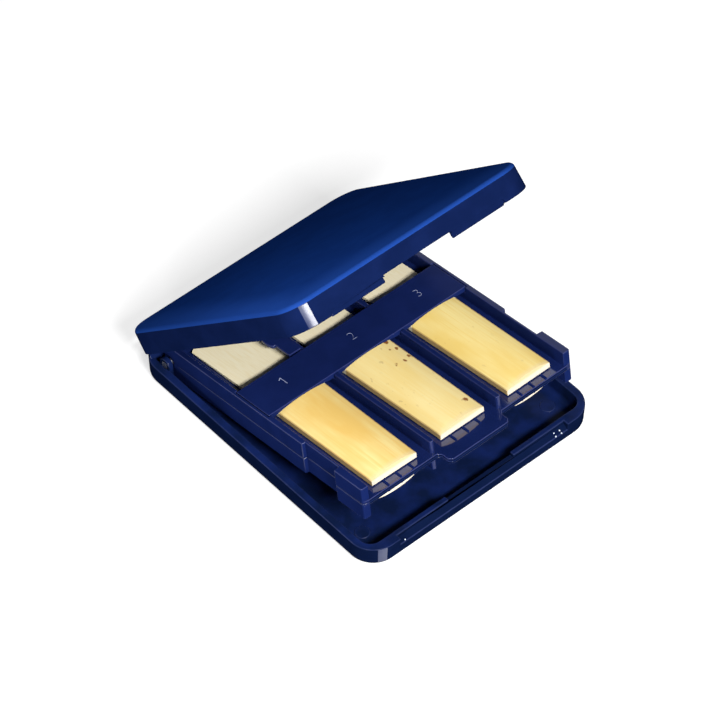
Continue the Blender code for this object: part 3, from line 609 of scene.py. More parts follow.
# Painted light: the lid's top gets a cobalt much lighter than its walls.
cobalt_painted_light = plastic("cobalt_plastic_painted_light", COBALT, COBALT_DEEP, COBALT_WEAR_AND_SHEEN, 0.0, 0.45)
tree = cobalt_painted_light.node_tree
where = node_of(tree, "ShaderNodeSeparateXYZ", {0: attribute(tree, "closed_place", "Vector")})
# Painted light: a lighter cobalt fading in from the top's front and left edges.
from_front = ("Y", front, PAINTED_LIGHT_FRONT, PAINTED_LIGHT_FRONT_SHARE)
from_side = ("X", -CASE_HALF_WIDTH, PAINTED_LIGHT_SIDE, PAINTED_LIGHT_SIDE_SHARE)
lightening_ramps = []
for axis, edge, reach, most in (from_front, from_side):
    inputs = {"Value": where.outputs[axis], "To Max": most}
    inputs.update({"From Min": edge + reach, "From Max": edge + reach * 0.1})
    fade = node_of(tree, "ShaderNodeMapRange", inputs, interpolation_type="SMOOTHSTEP")
    lightening_ramps.append(fade.outputs["Result"])
coloured = tree.nodes["Principled BSDF"].inputs["Base Color"]
pigment = coloured.links[0].from_socket
pigment = mix_colour(tree, math_node(tree, "MAXIMUM", *lightening_ramps), pigment, COBALT_PAINTED_LIGHT)
tree.links.new(pigment, coloured)
places = [value for vertex in lid.data.vertices for value in vertex.co]
closed_place = lid.data.attributes.new("closed_place", "FLOAT_VECTOR", "POINT")
closed_place.data.foreach_set("vector", places)
# The lid's near corner gets the same painted highlight strip.
lay_finishes(lid, lid_satin, (cobalt_painted_light, on_top), (navy_corner_highlight, on_corner))
turn_about(lid, HINGE, LID_OPEN)
smooth(lid)
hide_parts("lid_shell")
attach(lid, "lid")


# Tray: two like mouldings of glossy navy plastic, back to back with a fine
# parting line. Each has a thin web, two side walls with pressed finger grips,
# two dividers, half of the thumb tab and, on the upper one, a small lug.
TRAY_LIFT = 8.7
TRAY_HALF_HEIGHT = 5.15 * MM
TRAY_SPLIT = 0.15 * MM
TRAY_FRONT = -40.4 * MM
TRAY_REAR = 40.4 * MM
TRAY_FRONT_HALF_WIDTH = 35.5 * MM
TRAY_REAR_HALF_WIDTH = 34.8 * MM
TRAY_INNER_HALF_WIDTH = 33.2 * MM
TRAY_CORNER = 1.0 * MM
TRAY_REAR_WALL = 1.4 * MM
TRAY_REAR_INSET = 0.15 * MM
WEB_TOP = TRAY_SPLIT / 2 + 0.75 * MM
WALL_FRONT = TRAY_FRONT + 0.4 * MM
WALL_CORNER = 0.5 * MM
GRIP_FRONT = -29.4 * MM
GRIP_REAR = -16.5 * MM
GRIP_INSET = 1.0 * MM
GRIP_RAMP = 0.2 * MM
SLOT_WIDTH = 21.2 * MM
DIVIDER_WIDTH = 1.4 * MM
SLOT_PITCH = SLOT_WIDTH + DIVIDER_WIDTH
DIVIDER_TOP = TRAY_HALF_HEIGHT - 0.3 * MM
DIVIDER_FRONT = TRAY_FRONT + 0.9 * MM
TAB_HALF_WIDTH = 10.2 * MM
TAB_FRONT = TRAY_FRONT - 4.4 * MM
TAIL_CUT_LENGTH = 2.8 * MM
TAIL_CUT_DEPTH = 1.3 * MM
LUG_REACH = 3.9 * MM
LUG_HEAD_BULGE = 1.3 * MM
LUG_FRONT = 11.5 * MM
LUG_HEAD_FRONT = 17.2 * MM
LUG_REAR = 22.5 * MM
LUG_THICKNESS = 0.9 * MM
LUG_RISE = 0.15 * MM
BAND_FRONT = -2.2 * MM
BAND_REAR = 10.7 * MM
BAND_FOOT = TRAY_HALF_HEIGHT - 1.6 * MM
BAND_SEAT_GAP = 0.25 * MM
BAND_END = 33.75 * MM
TRAY_BORE_END = 36.0 * MM
TRAY_SOFTNESS = 0.18 * MM
TRAY_SLACK = 0.1 * MM
FACES_LEVEL = 0.9
FACES_ASIDE = 0.5
TRAY_NAVY = (0.0065, 0.0145, 0.082)
TRAY_DEEP = (0.0055, 0.0125, 0.070)
# Lighter navy for the tray's up-facing rounded edges, as wear and as painted highlight.
TRAY_WEAR_AND_SHEEN = (0.017, 0.025, 0.105)


def tray_z(face, rise):
    """Height in the closed case of what lies rise away from the tray's middle."""
    return PIVOT.z + face * rise


def tray_slab(name, face, xs, ys, low, high):
    return block(name, xs, ys, sorted((tray_z(face, low), tray_z(face, high))))


def tray_half(name, face):
    grip_x = TRAY_REAR_HALF_WIDTH - GRIP_INSET
    corner_x = TRAY_FRONT_HALF_WIDTH - WALL_CORNER
    corner = list(arc((corner_x, WALL_FRONT + WALL_CORNER), WALL_CORNER, -1, 0, 6))
    sides = [
        (TRAY_FRONT_HALF_WIDTH, GRIP_FRONT - GRIP_RAMP),
        (grip_x, GRIP_FRONT),
        (grip_x, GRIP_REAR),
        (TRAY_REAR_HALF_WIDTH, GRIP_REAR + GRIP_RAMP),
        (TRAY_REAR_HALF_WIDTH, TRAY_REAR - TRAY_CORNER),
        (TRAY_REAR_HALF_WIDTH - TRAY_CORNER, TRAY_REAR),
    ]
    right = [(TRAY_INNER_HALF_WIDTH + WALL_CORNER, TRAY_FRONT)] + corner[1:] + sides
    tab_right = [
        (TAB_HALF_WIDTH - TRAY_CORNER, TAB_FRONT),
        (TAB_HALF_WIDTH, TAB_FRONT + TRAY_CORNER),
        (TAB_HALF_WIDTH, TRAY_FRONT - TRAY_CORNER),
        (TAB_HALF_WIDTH + TRAY_CORNER, TRAY_FRONT),
    ]
    tab_left = [(-x, y) for x, y in reversed(tab_right)]
    left = [(-x, y) for x, y in reversed(right)]
    low = TRAY_SPLIT / 2
    web_zs = (tray_z(face, low), tray_z(face, WEB_TOP))
    half = bar_z(name, tab_left + tab_right + right + left, *web_zs)
    parts = []
    for side in (-1, 1):
        wall = [(side * x, y) for x, y in corner + sides]
        wall.append((side * TRAY_INNER_HALF_WIDTH, TRAY_REAR))
        inner_x = TRAY_INNER_HALF_WIDTH + WALL_CORNER / 2
        inner = arc((inner_x, WALL_FRONT + WALL_CORNER / 2), WALL_CORNER / 2, -2, -1, 4)
        wall += [(side * x, y) for x, y in inner]
        parts.append(bar_z("wall", wall, tray_z(face, 2 * low), tray_z(face, TRAY_HALF_HEIGHT)))
        centre = side * SLOT_PITCH / 2
        nose = list(arc((centre, DIVIDER_FRONT + DIVIDER_WIDTH / 2), DIVIDER_WIDTH / 2, 2, 4, 12))
        nose.append((centre + DIVIDER_WIDTH / 2, TRAY_REAR - TRAY_REAR_WALL / 2))
        nose.append((centre - DIVIDER_WIDTH / 2, TRAY_REAR - TRAY_REAR_WALL / 2))
        parts.append(bar_z("divider", nose, tray_z(face, 2 * low), tray_z(face, DIVIDER_TOP)))
    rear_x = TRAY_REAR_HALF_WIDTH - TRAY_CORNER
    parts.append(
        tray_slab(
            "rear",
            face,
            (-rear_x, rear_x),
            (TRAY_REAR - TRAY_REAR_WALL, TRAY_REAR - TRAY_REAR_INSET),
            2 * low,
            TRAY_HALF_HEIGHT - TRAY_REAR_INSET,
        )
    )
    if face > 0:
        root = -SLOT_PITCH / 2
        stem = root - LUG_REACH
        head = ((LUG_HEAD_FRONT + LUG_REAR) / 2, (LUG_REAR - LUG_HEAD_FRONT) / 2)
        lug = [(stem, LUG_FRONT), (root, LUG_FRONT), (root, LUG_REAR)]
        for share, reach in arc((0, 0), 1, 1, 3, 12):
            lug.append((stem - LUG_HEAD_BULGE * abs(share) ** 0.7, head[0] + head[1] * reach))
        lug_zs = (tray_z(1, DIVIDER_TOP - LUG_THICKNESS), tray_z(1, DIVIDER_TOP + LUG_RISE))
        parts.append(bar_z("lug", lug, *lug_zs))
    combine(half, "UNION", *parts)
    seat_x = BAND_END + BAND_SEAT_GAP
    seat = tray_slab(
        "seat",
        face,
        (-seat_x, seat_x),
        (BAND_FRONT - BAND_SEAT_GAP, BAND_REAR + BAND_SEAT_GAP),
        BAND_FOOT - BAND_SEAT_GAP,
        TRAY_HALF_HEIGHT + OVERRUN,
    )
    slope = TAIL_CUT_DEPTH / TAIL_CUT_LENGTH
    tail_ring = [
        (TRAY_REAR - TAIL_CUT_LENGTH, tray_z(face, TRAY_HALF_HEIGHT)),
        (TRAY_REAR + OVERRUN, tray_z(face, TRAY_HALF_HEIGHT - TAIL_CUT_DEPTH - slope * OVERRUN)),
        (TRAY_REAR + OVERRUN, tray_z(face, TRAY_HALF_HEIGHT + OVERRUN)),
        (TRAY_REAR - TAIL_CUT_LENGTH, tray_z(face, TRAY_HALF_HEIGHT + OVERRUN)),
    ]
    tail_reach = TRAY_FRONT_HALF_WIDTH + OVERRUN
    tail = bar_x("tail", tail_ring, -tail_reach, tail_reach)
    bore_start = TRAY_INNER_HALF_WIDTH - OVERRUN
    bores = [
        rod_x("pivot", PIVOT, PIVOT_BORE_RADIUS, (side * bore_start, side * TRAY_BORE_END))
        for side in (-1, 1)
    ]
    combine(half, "DIFFERENCE", seat, tail, *bores)
    soften(half, TRAY_SOFTNESS)

    def on_outside(centre, normal, wear_and_sheen):
        """Outer faces of the side walls."""
        outer = abs(centre.x) > TRAY_INNER_HALF_WIDTH + TRAY_SLACK
        return outer and abs(normal.z) < FACES_ASIDE and not wear_and_sheen

    def before_reeds(centre, normal, wear_and_sheen):
        """The web's glossy level face, which mirrors the reeds' heels."""
        low = face * (centre.z - tray_z(face, WEB_TOP)) < TRAY_SLACK
        return low and face * normal.z > FACES_LEVEL and not wear_and_sheen

    def outer_edge_wear_and_sheen(centre, normal, wear_and_sheen):
        """Rounded edges that face away from the tray's middle, lightened as wear and as painted
        highlight.
        """
        return wear_and_sheen and face * normal.z > FACES_UP

    def on_front(centre, normal, wear_and_sheen):
        """The upright front edge of the web and the tab."""
        between_walls = abs(centre.x) < TRAY_INNER_HALF_WIDTH
        return normal.y < -FACES_ASIDE and centre.y < TRAY_FRONT + TRAY_SLACK and between_walls

    # The web's upright front edge gets the base's darker navy, as painted shade.
    picks = ((tray_satin, on_outside), (tray_web, before_reeds), (navy_shaded_satin, on_front))
    lay_finishes(half, tray_plastic, *picks, (tray_sheen_edge, outer_edge_wear_and_sheen))
    turn_about(half, PIVOT, TRAY_LIFT)
    smooth(half)
    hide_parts(half.name.replace("case_", ""))
    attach(half, "tray")


tray_plastic = plastic("navy_plastic_gloss", TRAY_NAVY, TRAY_DEEP, TRAY_WEAR_AND_SHEEN, 0.3, 0.2, grain=0.6)
tray_satin = plastic("navy_plastic_grip", TRAY_NAVY, TRAY_DEEP, TRAY_WEAR_AND_SHEEN, 0.0, 0.35)
# The tray's up-facing rounded edges are lighter, as wear and as painted highlight.
tray_sheen_edge = plastic("navy_plastic_sheen_rim", TRAY_WEAR_AND_SHEEN, TRAY_NAVY, TRAY_WEAR_AND_SHEEN, 0.3, 0.25)
tray_web = plastic("navy_plastic_web", TRAY_NAVY, TRAY_DEEP, TRAY_WEAR_AND_SHEEN, 0.9, 0.08, coat=0.25, grain=0.3)
tray_half("case_tray_upper", 1)
tray_half("case_tray_lower", -1)


# Rails: three fine ribs on the web of each slot, moulded in one with it, that
# carry the flat back of the reed and let air under it.
RAIL_WIDTH = 0.5 * MM
RAIL_RISE = 0.35 * MM
RAIL_PITCH = 4.2 * MM
RAIL_FRONT = TRAY_FRONT + 0.2 * MM
RAIL_REAR = 33.5 * MM
RAIL_SINK = 0.1 * MM
RAIL_SOFTNESS = 0.08 * MM


def group_inputs(tree, sizes):
    """Give a tree named sizes and a material as inputs; returns their identifiers."""
    ids = {}
    for name, value in (*sizes, ("Material", None)):
        kind = "NodeSocketMaterial" if value is None else "NodeSocketFloat"
        socket = tree.interface.new_socket(name, in_out="INPUT", socket_type=kind)
        socket.default_value = value
        ids[name] = socket.identifier
    return ids


def end_tree(tree, geometry, material):
    """Make the tree's result real and give it its material."""
    tree.interface.new_socket("Geometry", in_out="OUTPUT", socket_type="NodeSocketGeometry")
    real = node_of(tree, "GeometryNodeRealizeInstances", {"Geometry": geometry})
    inputs = {"Geometry": real.outputs["Geometry"], "Material": material}
    finish = node_of(tree, "GeometryNodeSetMaterial", inputs)
    node_of(tree, "NodeGroupOutput", {"Geometry": finish.outputs["Geometry"]})


def run_tree(item, tree, values):
    """Give the object the tree's result as a plain mesh of its own."""
    step = item.modifiers.new(tree.name, "NODES")
    step.node_group = tree
    for identifier, value in values.items():
        step[identifier] = value
    mesh = final_mesh(item)
    item.modifiers.clear()
    item.data = mesh
    return item


def rail_tree():
    """Rows of ribs: slots side by side, each with its ribs about its middle."""
    tree = bpy.data.node_groups.new("rail_rows", "GeometryNodeTree")
    sizes = (
        ("Rib Width", RAIL_WIDTH),
        ("Rib Height", RAIL_RISE + RAIL_SINK),
        ("Rib Length", RAIL_REAR - RAIL_FRONT),
        ("Rib Pitch", RAIL_PITCH),
        ("Slot Pitch", SLOT_PITCH),
    )
    ids = group_inputs(tree, sizes)
    source = node_of(tree, "NodeGroupInput").outputs
    inputs = {"X": source["Rib Width"], "Y": source["Rib Length"], "Z": source["Rib Height"]}
    size = node_of(tree, "ShaderNodeCombineXYZ", inputs).outputs["Vector"]
    rib = node_of(tree, "GeometryNodeMeshCube", {"Size": size, "Vertices Y": 8})
    copied = rib.outputs["Mesh"]
    for label in ("Rib Pitch", "Slot Pitch"):
        step = node_of(tree, "ShaderNodeCombineXYZ", {"X": source[label]}).outputs["Vector"]
        back = node_of(tree, "ShaderNodeVectorMath", {0: step, "Scale": -1.0}, operation="SCALE")
        inputs = {"Count": 3, "Start Location": back.outputs["Vector"], "Offset": step}
        row = node_of(tree, "GeometryNodeMeshLine", inputs, mode="OFFSET").outputs["Mesh"]
        copies = node_of(tree, "GeometryNodeInstanceOnPoints", {"Points": row, "Instance": copied})
        copied = copies.outputs["Instances"]
    end_tree(tree, copied, source["Material"])
    return tree, ids


rail_rows, rail_ids = rail_tree()
for word, face in (("upper", 1), ("lower", -1)):
    rails = new_piece("rails_" + word, bmesh.new())
    run_tree(rails, rail_rows, {rail_ids["Material"]: tray_satin})
    middle = WEB_TOP + (RAIL_RISE - RAIL_SINK) / 2
    place = (0, (RAIL_FRONT + RAIL_REAR) / 2, tray_z(face, middle))
    rails.data.transform(Matrix.Translation(place))
    soften(rails, RAIL_SOFTNESS, segments=2)
    lay_finishes(rails, tray_satin)
    turn_about(rails, PIVOT, TRAY_LIFT)
    smooth(rails)
    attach(rails, "tray")


# Cross bands: a moulded strip over the three slots of each side, snapped into
# seats in the side walls. It arches over each reed and presses on its edges.
# The upper one carries the slots' numbers, pad printed in pale grey.
BAND_CROWN = TRAY_HALF_HEIGHT - 0.55 * MM
BAND_SOFTNESS = 0.15 * MM
ARCH_HALF_SPAN = 9.0 * MM
ARCH_STEPS = 28
NUMBER_HEIGHT = 3.1 * MM
NUMBER_THINNING = 0.16 * MM
CAPITAL_SHARE = 0.7
NUMBER_THICKNESS = 0.05 * MM
NUMBER_Y = 3.6 * MM
NUMBER_X = (-22.6 * MM, 0.6 * MM, 23.4 * MM)
NUMBER_ONE = (
    (-0.09, 0), (0.09, 0), (0.09, 3.0), (-0.04, 3.0), (-0.9, 2.4), (-0.76, 2.22), (-0.09, 2.7)
)
NUMBER_GREY = (0.34, 0.38, 0.55)

band_plastic = plastic("navy_plastic_band", TRAY_NAVY, TRAY_DEEP, TRAY_WEAR_AND_SHEEN, 0.05, 0.3)
printing = plastic("grey_print", NUMBER_GREY, NUMBER_GREY, NUMBER_GREY, 0.3, 0.45)
for word, face in (("upper", 1), ("lower", -1)):
    ring = [(-BAND_END, BAND_FOOT)]
    for slot in (-1, 0, 1):
        for i in range(ARCH_STEPS + 1):
            share = 2 * i / ARCH_STEPS - 1
            rise = (BAND_CROWN - BAND_FOOT) * (1 - share * share)
            ring.append((slot * SLOT_PITCH + share * ARCH_HALF_SPAN, BAND_FOOT + rise))
    ring += [(BAND_END, BAND_FOOT), (BAND_END, TRAY_HALF_HEIGHT), (-BAND_END, TRAY_HALF_HEIGHT)]
    band = bar_y("case_band_" + word, [(x, tray_z(face, z)) for x, z in ring], BAND_FRONT, BAND_REAR)
    soften(band, BAND_SOFTNESS)
    lay_finishes(band, band_plastic, (tray_sheen_edge, is_edge_wear_and_sheen))
    turn_about(band, PIVOT, TRAY_LIFT)
    smooth(band)
    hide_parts("band_" + word)
    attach(band, "tray")

for number, number_x in zip("123", NUMBER_X):
    if number == "1":
        ring = [(x * MM, y * MM) for x, y in NUMBER_ONE]
        letter = bar_z("number_1", ring, -NUMBER_THICKNESS / 2, NUMBER_THICKNESS / 2)
        mesh = letter.data
    else:
        text = bpy.data.curves.new("number_" + number, "FONT")
        text.body = number
        text.size = NUMBER_HEIGHT / CAPITAL_SHARE
        text.align_x = "CENTER"
        text.extrude = NUMBER_THICKNESS / 2
        text.offset = -NUMBER_THINNING
        text.resolution_u = 6
        typed = add_object("number_" + number, text)
        mesh = final_mesh(typed)
        bpy.data.objects.remove(typed, do_unlink=True)
        letter = add_object("number_" + number, mesh)
    shape = bmesh.new()
    shape.from_mesh(mesh)
    bmesh.ops.remove_doubles(shape, verts=shape.verts, dist=WELD)
    bmesh.ops.recalc_face_normals(shape, faces=shape.faces)
    shape.to_mesh(mesh)
    shape.free()
    height = tray_z(1, TRAY_HALF_HEIGHT) + NUMBER_THICKNESS / 4
    mesh.transform(Matrix.Translation((number_x, NUMBER_Y, height)))
    turn_about(letter, PIVOT, TRAY_LIFT)
    mesh.materials.clear()
    mesh.materials.append(printing)
    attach(letter, "tray")


# Reeds: six alto saxophone reeds of natural cane, three to a side. Each is split
# from a tube of cane: flat back, round golden bark at the heel, then a long cut
# that bares the pale wood and thins to a tip as fine as paper.
REED_LENGTH = 74.5 * MM
REED_HEEL_WIDTH = 14.7 * MM
REED_TIP_WIDTH = 16.4 * MM
REED_THICKNESS = 2.9 * MM
REED_EDGE = 1.5 * MM
REED_ROUND_POWER = 2.4
REED_CUT_POWER = 0.8
REED_TIP_POWER = 6.0
REED_ROW_POWER = 1.5
REED_WAVINESS = 0.05 * MM
REED_TIP_THICKNESS = 0.4 * MM
REED_TIP_EDGE = 0.3 * MM
REED_TIP_ARC = 2.6 * MM
BARK_LENGTH = 37.5 * MM
CUT_START = BARK_LENGTH + 3.4 * MM
CUT_FADE = 0.5 * MM
CUT_BOW = 5.0 * MM
HEEL_HIGHLIGHT_LENGTH = 1.6 * MM
REED_BACK = WEB_TOP + RAIL_RISE + 0.05 * MM
REED_HEEL_Y = TRAY_FRONT + 2.7 * MM
UPPER_OFFSETS = (-0.2 * MM, 0.2 * MM, 0.3 * MM)
UPPER_SHIFTS = (0.0, 0.0, 0.2 * MM)
UPPER_SKEWS = (-1.0, 0.0, 0.2)
LOWER_OFFSETS = (-0.3 * MM, 0.4 * MM, -0.5 * MM)
LOWER_SHIFTS = (0.6 * MM, 0.3 * MM, 0.3 * MM)
LOWER_SKEWS = (0.3, 0.0, -0.3)
BARK_LIGHT = ((0.94, 0.75, 0.31), (0.93, 0.76, 0.35), (0.94, 0.76, 0.31))
BARK_DARK = ((0.88, 0.58, 0.16), (0.90, 0.68, 0.25), (0.88, 0.64, 0.19))
BARK_CLOUDS = (0.36, 0.66)
BARK_STREAKS = (0.45, 0.70)
STREAK_SHARE = 0.7
FLECK_AMOUNT = (0.0, 0.3, 0.15)
FLECK_MARKS = (0.66, 0.72)
FLECK_PATCHES = (0.5, 0.6)
FLECK_RAGGED = 3.0 * MM
FLECK_HEIGHT = REED_THICKNESS * 0.7
FLECK_PLACES = (
    (6.1, 36.1), (4.7, 32.9), (6.9, 32.5), (2.3, 26.8), (4.2, 27.0), (7.1, 27.9), (4.7, 4.9), (5.6, 5.0)
)
FLECK_RADIUS = 0.75 * MM
FLECK_BROWN = (0.28, 0.10, 0.02)
# Painted shade along the bark's long edges.
EDGE_SHADE_BROWN = (0.34, 0.17, 0.06)
EDGE_REACH = (0.95, 0.975)
EDGE_SHARE = 0.6
# Painted shade on the reeds' side faces.
SIDE_SHADE_GOLD = (0.62, 0.43, 0.17)
CUT_PALE = (0.95, 0.86, 0.61)
CUT_GRAIN = (0.90, 0.78, 0.49)
CUT_FIBRES = (0.40, 0.75)
HEEL_PALE = (0.68, 0.61, 0.49)
HEEL_FIBRE = (0.61, 0.53, 0.39)
HEEL_GOLD = (0.64, 0.50, 0.26)
HEEL_GOLD_HEIGHTS = (1.3 * MM, 2.0 * MM)
# Painted highlight along the heel end of the bark.
BARK_HEEL_HIGHLIGHT = (0.90, 0.73, 0.40)
HEEL_HIGHLIGHT_SHARE = 0.8


def blend_between(tree, low, high, share):
    """low + (high - low) * share."""
    return math_node(tree, "MULTIPLY_ADD", math_node(tree, "SUBTRACT", high, low), share, low)


def keep_attribute(tree, geometry, name, kind, value, domain="POINT"):
    inputs = {"Geometry": geometry, "Name": name, "Value": value}
    store = node_of(tree, "GeometryNodeStoreNamedAttribute", inputs, data_type=kind, domain=domain)
    return store.outputs["Geometry"]


def reed_tree():
    """A grid box bent into a reed: its section follows the length by rule."""
    tree = bpy.data.node_groups.new("reed_body", "GeometryNodeTree")
    sizes = (
        ("Length", REED_LENGTH),
        ("Heel Width", REED_HEEL_WIDTH),
        ("Tip Width", REED_TIP_WIDTH),
        ("Thickness", REED_THICKNESS),
        ("Edge Thickness", REED_EDGE),
        ("Tip Thickness", REED_TIP_THICKNESS),
        ("Tip Edge", REED_TIP_EDGE),
        ("Bark Length", BARK_LENGTH),
        ("Tip Arc", REED_TIP_ARC),
        ("Waviness", REED_WAVINESS),
        ("Seed", 0.0),
    )
    ids = group_inputs(tree, sizes)
    size = node_of(tree, "NodeGroupInput").outputs
    rows = {"Vertices X": 25, "Vertices Y": 141, "Vertices Z": 2}
    box = node_of(tree, "GeometryNodeMeshCube", rows).outputs["Mesh"]
    start = node_of(tree, "GeometryNodeInputPosition").outputs["Position"]
    spot = node_of(tree, "ShaderNodeSeparateXYZ", {0: start}).outputs
    across = times(tree, spot["X"], 2.0)
    top = math_node(tree, "ADD", spot["Z"], 0.5)
    left = math_node(tree, "SUBTRACT", 0.5, spot["Y"])
    share = math_node(tree, "SUBTRACT", 1.0, math_node(tree, "POWER", left, REED_ROW_POWER))
    to_side = math_node(tree, "POWER", math_node(tree, "ABSOLUTE", across), REED_ROUND_POWER)
    round_share = math_node(tree, "SUBTRACT", 1.0, to_side)
    along = times(tree, share, size["Length"])
    past = math_node(tree, "SUBTRACT", along, size["Bark Length"])
    cut_length = math_node(tree, "SUBTRACT", size["Length"], size["Bark Length"])
    past = math_node(tree, "MAXIMUM", math_node(tree, "DIVIDE", past, cut_length), 0.0)
    thin = math_node(tree, "POWER", past, REED_CUT_POWER)
    crown = blend_between(tree, size["Thickness"], size["Tip Thickness"], thin)
    edge = blend_between(tree, size["Edge Thickness"], size["Tip Edge"], thin)
    height = times(tree, blend_between(tree, edge, crown, round_share), top)
    width = blend_between(tree, size["Heel Width"], size["Tip Width"], share)
    x = times(tree, times(tree, width, 0.5), across)
    pulled = math_node(tree, "POWER", share, REED_TIP_POWER)
    pulled = times(tree, size["Tip Arc"], pulled)
    pulled = times(tree, pulled, to_side)
    y = math_node(tree, "SUBTRACT", along, pulled)
    place = node_of(tree, "ShaderNodeCombineXYZ", {"X": x, "Y": y, "Z": height}).outputs["Vector"]
    inputs = {"Vector": place, "W": size["Seed"], "Scale": 160.0}
    wave = node_of(tree, "ShaderNodeTexNoise", inputs, noise_dimensions="4D").outputs["Fac"]
    sway = times(tree, math_node(tree, "SUBTRACT", wave, 0.55), size["Waviness"])
    sway = times(tree, sway, top)
    sway = times(tree, sway, math_node(tree, "SUBTRACT", 1.0, thin))
    uneven = node_of(tree, "ShaderNodeCombineXYZ", {"Z": sway}).outputs["Vector"]
    at_side = math_node(tree, "GREATER_THAN", math_node(tree, "ABSOLUTE", across), 0.99)
    geometry = keep_attribute(tree, box, "across", "FLOAT", across)
    geometry = keep_attribute(tree, geometry, "side_face", "FLOAT", at_side, "FACE")
    geometry = keep_attribute(tree, geometry, "grain", "FLOAT_VECTOR", place)
    inputs = {"Geometry": geometry, "Position": place, "Offset": uneven}
    geometry = node_of(tree, "GeometryNodeSetPosition", inputs).outputs["Geometry"]
    bent = node_of(tree, "GeometryNodeInputPosition").outputs["Position"]
    after = node_of(tree, "ShaderNodeSeparateXYZ", {0: bent}).outputs
    at_heel = math_node(tree, "LESS_THAN", after["Y"], 0.02 * MM)
    geometry = keep_attribute(tree, geometry, "heel_end", "FLOAT", at_heel, "FACE")
    end_tree(tree, geometry, size["Material"])
    return tree, ids


def cane(number, light, dark, flecks, gold):
    """Golden bark with streaks and flecks, pale cut wood, fibre ends at the heel; painted shade on the
    sides and bark edges, a painted highlight near the heel end.
    """
    material, tree, shader = new_finish("cane_" + str(number + 1))
    shader.inputs["Specular IOR Level"].default_value = 0.3
    seed = 3.1 * number
    grain = attribute(tree, "grain", "Vector")
    across = attribute(tree, "across")
    clouds = noise_over(tree, grain, (160, 45, 160), detail=3.0, seed=seed)
    streaks = noise_over(tree, grain, (1900, 55, 600), detail=4.0, seed=seed)
    fibres = noise_over(tree, grain, (3600, 90, 3600), detail=2.0, seed=seed)
    bark = mix_colour(tree, spread(tree, clouds, *BARK_CLOUDS), light, dark)
    faint = times(tree, spread(tree, streaks, *BARK_STREAKS), STREAK_SHARE)
    bark = mix_colour(tree, faint, bark, dark)
    # Painted shade: darker brown along both bark edges.
    side = spread(tree, math_node(tree, "ABSOLUTE", across), *EDGE_REACH)
    bark = mix_colour(tree, times(tree, side, EDGE_SHARE), bark, EDGE_SHADE_BROWN)
    marks = noise_over(tree, grain, (900, 420, 900), detail=2.0, seed=seed + 5.0)
    patch = noise_over(tree, grain, (120, 70, 120), detail=1.0, seed=seed + 9.0)
    spots = times(tree, spread(tree, marks, *FLECK_MARKS), spread(tree, patch, *FLECK_PATCHES))
    bark = mix_colour(tree, times(tree, spots, flecks), bark, FLECK_BROWN)
    ragged = times(tree, math_node(tree, "SUBTRACT", marks, 0.5), FLECK_RAGGED)
    for x, y in FLECK_PLACES if number == 1 else ():
        inputs = {0: grain, 1: (x * MM, y * MM, FLECK_HEIGHT)}
        apart = node_of(tree, "ShaderNodeVectorMath", inputs, operation="DISTANCE")
        reach = math_node(tree, "ADD", apart.outputs["Value"], ragged)
        near = spread(tree, reach, FLECK_RADIUS, FLECK_RADIUS * 0.6)
        bark = mix_colour(tree, near, bark, FLECK_BROWN)
    wood = mix_colour(tree, spread(tree, fibres, *CUT_FIBRES), CUT_PALE, CUT_GRAIN)
    where = node_of(tree, "ShaderNodeSeparateXYZ", {0: grain}).outputs
    bow = times(tree, times(tree, across, across), CUT_BOW)
    cut = math_node(tree, "ADD", where["Y"], bow)
    cut = spread(tree, cut, CUT_START, CUT_START + CUT_FADE)
    # Painted highlight: the bark turns cream towards the heel end.
    near_end = spread(tree, where["Y"], HEEL_HIGHLIGHT_LENGTH, 0.0)
    bark = mix_colour(tree, times(tree, near_end, HEEL_HIGHLIGHT_SHARE), bark, BARK_HEEL_HIGHLIGHT)
    # Painted shade: the side faces get a darker gold.
    bark = mix_colour(tree, attribute(tree, "side_face"), bark, SIDE_SHADE_GOLD)
    colour = mix_colour(tree, cut, bark, wood)
    pores = node_of(tree, "ShaderNodeTexVoronoi", {"Vector": grain, "Scale": 3800.0})
    pores = spread(tree, pores.outputs["Distance"], 0.45, 0.05)
    ends = mix_colour(tree, pores, HEEL_PALE, HEEL_FIBRE)
    high = times(tree, spread(tree, where["Z"], *HEEL_GOLD_HEIGHTS), gold)
    ends = mix_colour(tree, high, ends, HEEL_GOLD)
    colour = mix_colour(tree, attribute(tree, "heel_end"), colour, ends)
    tree.links.new(colour, shader.inputs["Base Color"])
    vary_roughness(tree, shader, streaks, 0.38, 0.6)
    raise_grain(tree, shader, fibres, 0.25, 0.03 * MM)
    return material


reed_body, reed_ids = reed_tree()
upper_lay = ("upper", 1, UPPER_OFFSETS, UPPER_SHIFTS, UPPER_SKEWS)
lower_lay = ("lower", -1, LOWER_OFFSETS, LOWER_SHIFTS, LOWER_SKEWS)
for word, face, offsets, shifts, skews in (upper_lay, lower_lay):
    for slot in range(3):
        node_name = "reed_" + word + "_" + str(slot + 1)
        reed = new_piece("case_" + node_name, bmesh.new())
        finish = cane(slot, BARK_LIGHT[slot], BARK_DARK[slot], FLECK_AMOUNT[slot], max(face, 0))
        values = {reed_ids["Material"]: finish, reed_ids["Seed"]: 1.7 * slot + face}
        run_tree(reed, reed_body, values)
        reed.data.transform(Matrix.Rotation(math.radians(skews[slot]), 4, "Z"))
        if face < 0:
            reed.data.transform(Matrix.Diagonal((1, 1, -1, 1)))
            reed.data.flip_normals()
        heel_x = (slot - 1) * SLOT_PITCH + offsets[slot]
        heel_y = REED_HEEL_Y - shifts[slot]
        reed.data.transform(Matrix.Translation((heel_x, heel_y, tray_z(face, REED_BACK))))
        turn_about(reed, PIVOT, TRAY_LIFT)
        smooth(reed, 40.0)
        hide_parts(node_name)
        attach(reed, node_name)


